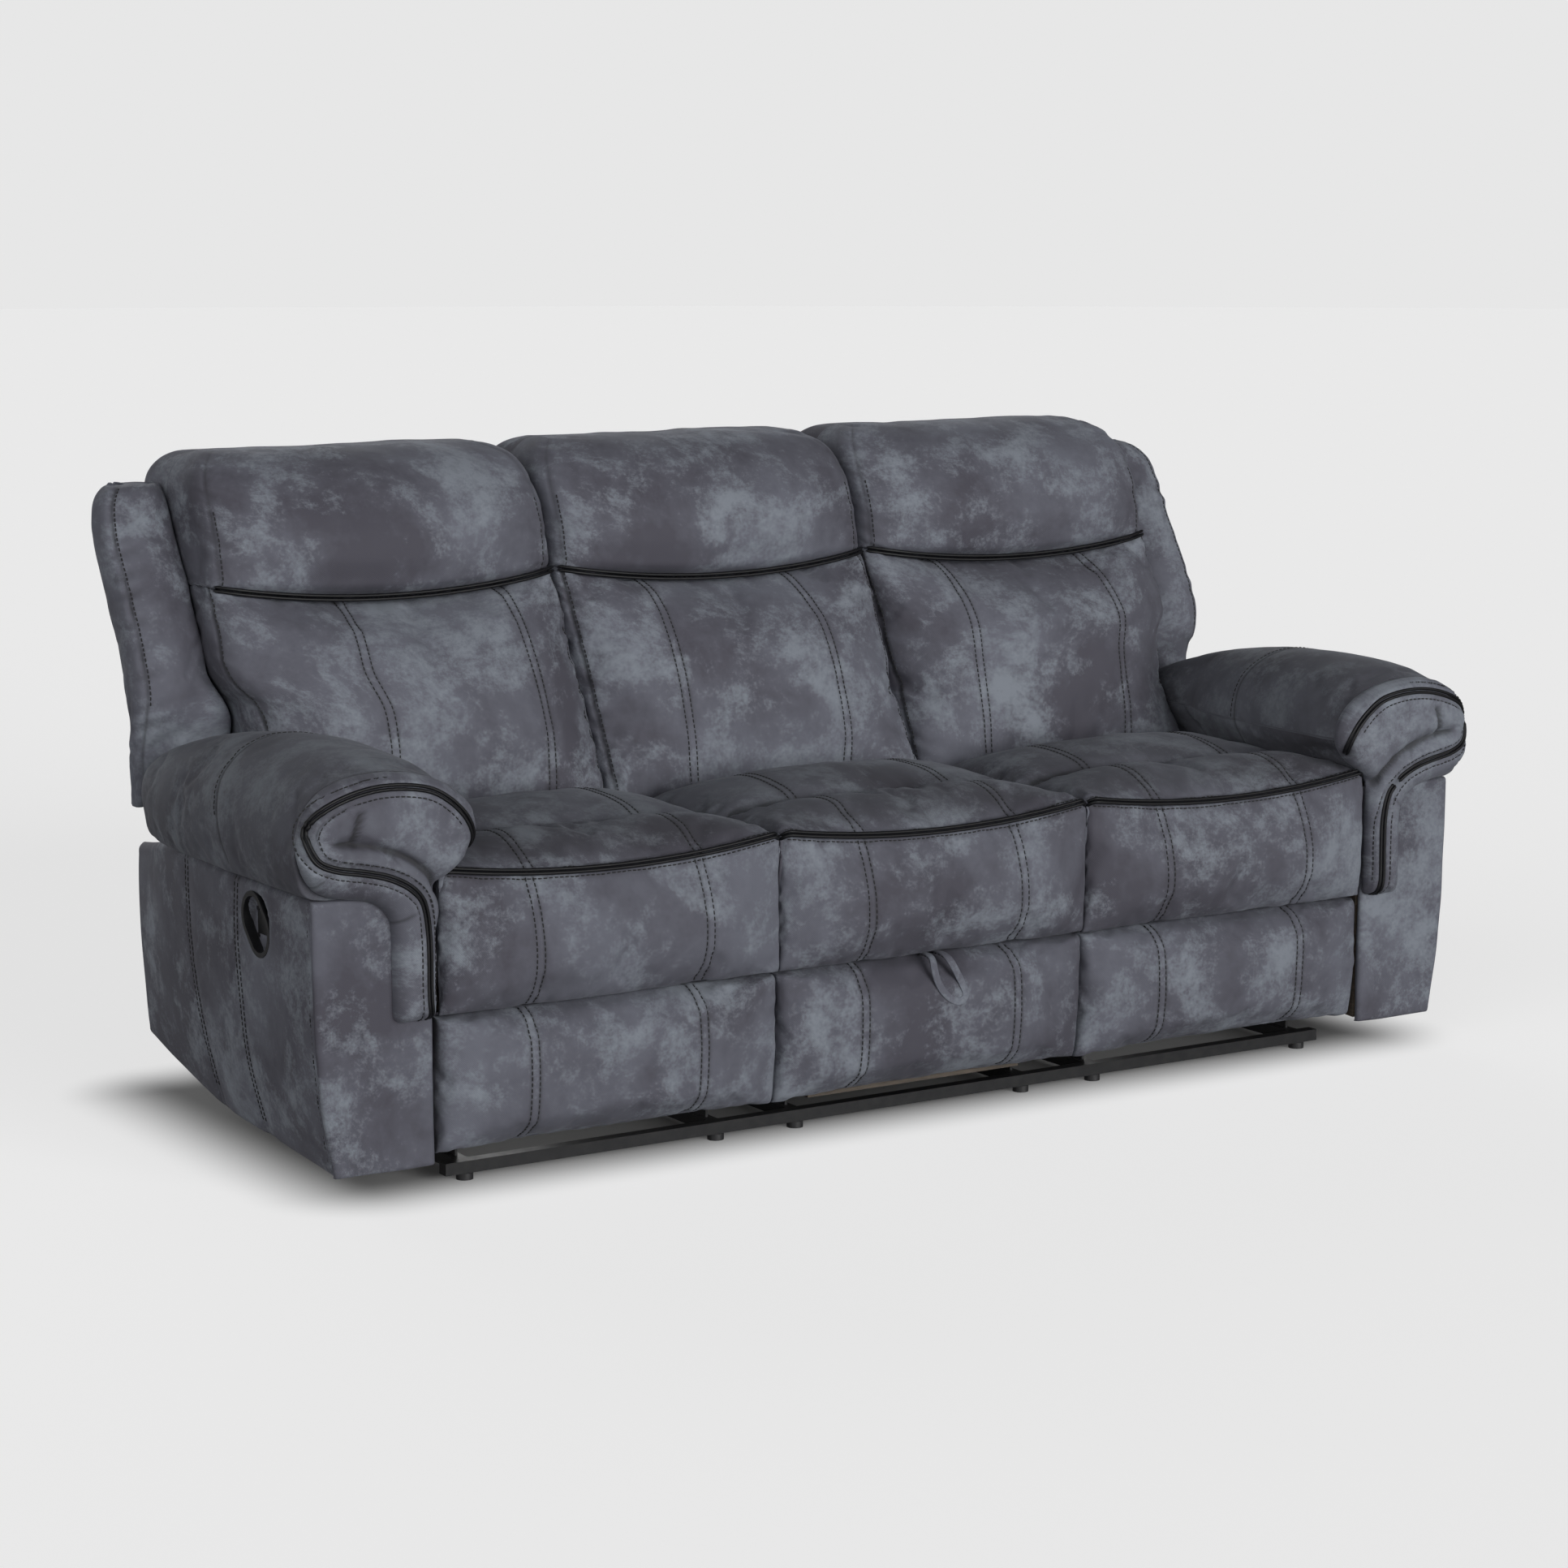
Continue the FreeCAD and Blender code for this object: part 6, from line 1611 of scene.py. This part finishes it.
class SOFA_OT_latch_screws(bpy.types.Operator):
    """Makes the two screws in each latch cup"""
    bl_idname = "sofa.latch_screws"
    bl_label = "Latch screws"

    def execute(self, context):
        f = Finish("screw_steel", Metallic=0.8)
        wear = f.noise(f.objects(), 900.0, 3.0)
        f.put(Base_Color=f.ramp(wear, ((0.35, grey(0.03)), (0.7, grey(0.09)))),
              Roughness=wear * 0.3 + 0.25)
        profile = np.array(((0.0, 0.0), (0.0034, 0.0), (0.0034, 0.0008), (0.0028, 0.0016),
                            (0.0014, 0.0020), (0.0013, 0.0009), (0.0, 0.0009)))
        turn = np.arange(24) * math.pi / 12
        for arm, side in SIDES:
            low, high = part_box(f"{arm}_latch_cup")
            floor = (low.x if side > 0 else high.x) + side * 0.003
            made, faces, total = [], [], 0
            for y, z in ((-0.229, 0.400), (-0.272, 0.352)):
                ring = np.stack(np.broadcast_arrays(
                    side * profile[:, 1, None] + floor,
                    y + profile[:, :1] * np.cos(turn), z + profile[:, :1] * np.sin(turn)), -1)
                made.append(ring.reshape(-1, 3))
                faces.append(grid_quads(np.arange(ring.shape[0] * 24).reshape(-1, 24)) + total)
                total += ring.shape[0] * 24
            thing = mesh_of(f"{arm}_latch_screws", np.concatenate(made), np.concatenate(faces))
            work = bmesh.new()
            work.from_mesh(thing.data)
            bmesh.ops.remove_doubles(work, verts=work.verts, dist=1e-6)
            bmesh.ops.recalc_face_normals(work, faces=work.faces)
            work.to_mesh(thing.data)
            work.free()
            thing.data.materials.append(f.material)
            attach(thing, "base")
        return {"FINISHED"}


class SOFA_OT_stage(bpy.types.Operator):
    """Makes the floor, the backdrop, the lights and the camera"""
    bl_idname = "sofa.stage"
    bl_label = "Stage"

    def execute(self, context):
        scene = context.scene
        scene.view_settings.view_transform = "Standard"
        self.floor()
        self.world(scene)
        for name, azimuth, height, strength, softness in (
                ("key", 12.0, 6.0, 3.9, 40.0), ("fill", -64.0, 8.0, 2.1, 70.0),
                ("rear", 172.0, 5.0, 1.6, 60.0)):
            lamp = bpy.data.lights.new(name, "SUN")
            lamp.energy = strength
            lamp.angle = math.radians(softness)
            holder = bpy.data.objects.new(name, lamp)
            scene.collection.objects.link(holder)
            holder.rotation_euler = (math.radians(90 - height), 0.0, math.radians(azimuth))
        camera = bpy.data.objects.new("camera", bpy.data.cameras.new("camera"))
        scene.collection.objects.link(camera)
        camera.location = (-3.1812, -4.9976, 1.3934)
        camera.rotation_euler = (math.radians(90 - 9.0095), 0.0, math.radians(-32.562))
        camera.data.sensor_width = 36.0
        camera.data.lens = 86.04
        camera.data.clip_end = 60.0
        scene.camera = camera
        return {"FINISHED"}

    @staticmethod
    def floor():
        """A disc of rings round the sofa, from its middle outwards."""
        radius = np.array((0.0, 0.5, 1.5, 4.0, 12.0, 40.0))
        turn = np.arange(48) * math.pi / 24
        ring = np.stack(np.broadcast_arrays(
            radius[:, None] * np.cos(turn), radius[:, None] * np.sin(turn), 0.0), -1)
        thing = mesh_of("floor", ring.reshape(-1, 3), grid_quads(
            np.arange(6 * 48).reshape(6, 48)))
        f = Finish("floor_paper", Base_Color=grey(0.35), Roughness=0.95, Specular_IOR_Level=0.0)
        outside = f.vector("MAXIMUM", f.vector("SUBTRACT", f.vector("ABSOLUTE", f.objects()),
                                               (0.90, 0.33, 0.0)), (0.0, 0.0, 0.0))
        # Painted contact shadow: the floor's glow fades out from 0.2 m outside the sofa's footprint
        # to nothing under it.
        clear = f.node("ShaderNodeMapRange", {"interpolation_type": "SMOOTHSTEP"},
                       {0: f.vector("LENGTH", outside, out=1), 1: -0.01, 2: 0.2})
        glow = f.node("ShaderNodeLightPath") * clear * colours().paper
        f.put(Emission_Color=f.mix(glow, grey(0.0), grey(1.0)), Emission_Strength=1.0)
        thing.data.materials.append(f.material)

    @staticmethod
    def world(scene):
        world = bpy.data.worlds.new("studio")
        scene.world = world
        world.use_nodes = True
        tree = world.node_tree
        tree.nodes.clear()
        output = tree.nodes.new("ShaderNodeOutputWorld")
        mix = tree.nodes.new("ShaderNodeMixShader")
        soft = tree.nodes.new("ShaderNodeBackground")
        shown = tree.nodes.new("ShaderNodeBackground")
        path = tree.nodes.new("ShaderNodeLightPath")
        soft.inputs[0].default_value = (1.0, 1.0, 1.0, 1.0)
        soft.inputs[1].default_value = 0.08
        shown.inputs[0].default_value = (*colours().backdrop, 1.0)
        tree.links.new(path.outputs["Is Camera Ray"], mix.inputs[0])
        tree.links.new(soft.outputs[0], mix.inputs[1])
        tree.links.new(shown.outputs[0], mix.inputs[2])
        tree.links.new(mix.outputs[0], output.inputs[0])


OPERATORS = (
    SOFA_OT_stage, SOFA_OT_frame_finishes, SOFA_OT_seat_cushions, SOFA_OT_front_panels,
    SOFA_OT_lumbar_cushions, SOFA_OT_head_cushions, SOFA_OT_wings, SOFA_OT_arm_pads,
    SOFA_OT_arm_boots, SOFA_OT_arm_panels, SOFA_OT_rear_covers, SOFA_OT_pull_strap,
    SOFA_OT_latch_screws,
)


class SOFA_PT_pieces(bpy.types.Panel):
    """The sofa's sizes, colours and pieces"""
    bl_idname = "SOFA_PT_pieces"
    bl_label = "Reclining sofa"
    bl_space_type = "VIEW_3D"
    bl_region_type = "UI"
    bl_category = "Sofa"

    def draw(self, context):
        for group in (context.scene.sofa_sizes, context.scene.sofa_colours):
            box = self.layout.box()
            for name in group.__annotations__:
                box.prop(group, name)
        for operator in OPERATORS:
            self.layout.operator(operator.bl_idname)


CLASSES = (SofaSizes, SofaColours, *OPERATORS, SOFA_PT_pieces)


def register():
    for item in CLASSES:
        bpy.utils.register_class(item)
    bpy.types.Scene.sofa_sizes = PointerProperty(type=SofaSizes)
    bpy.types.Scene.sofa_colours = PointerProperty(type=SofaColours)


def unregister():
    del bpy.types.Scene.sofa_colours
    del bpy.types.Scene.sofa_sizes
    for item in reversed(CLASSES):
        bpy.utils.unregister_class(item)


def main():
    register()
    for operator in OPERATORS:
        group, name = operator.bl_idname.split(".")
        getattr(getattr(bpy.ops, group), name)()


if __name__ == "__main__":
    main()
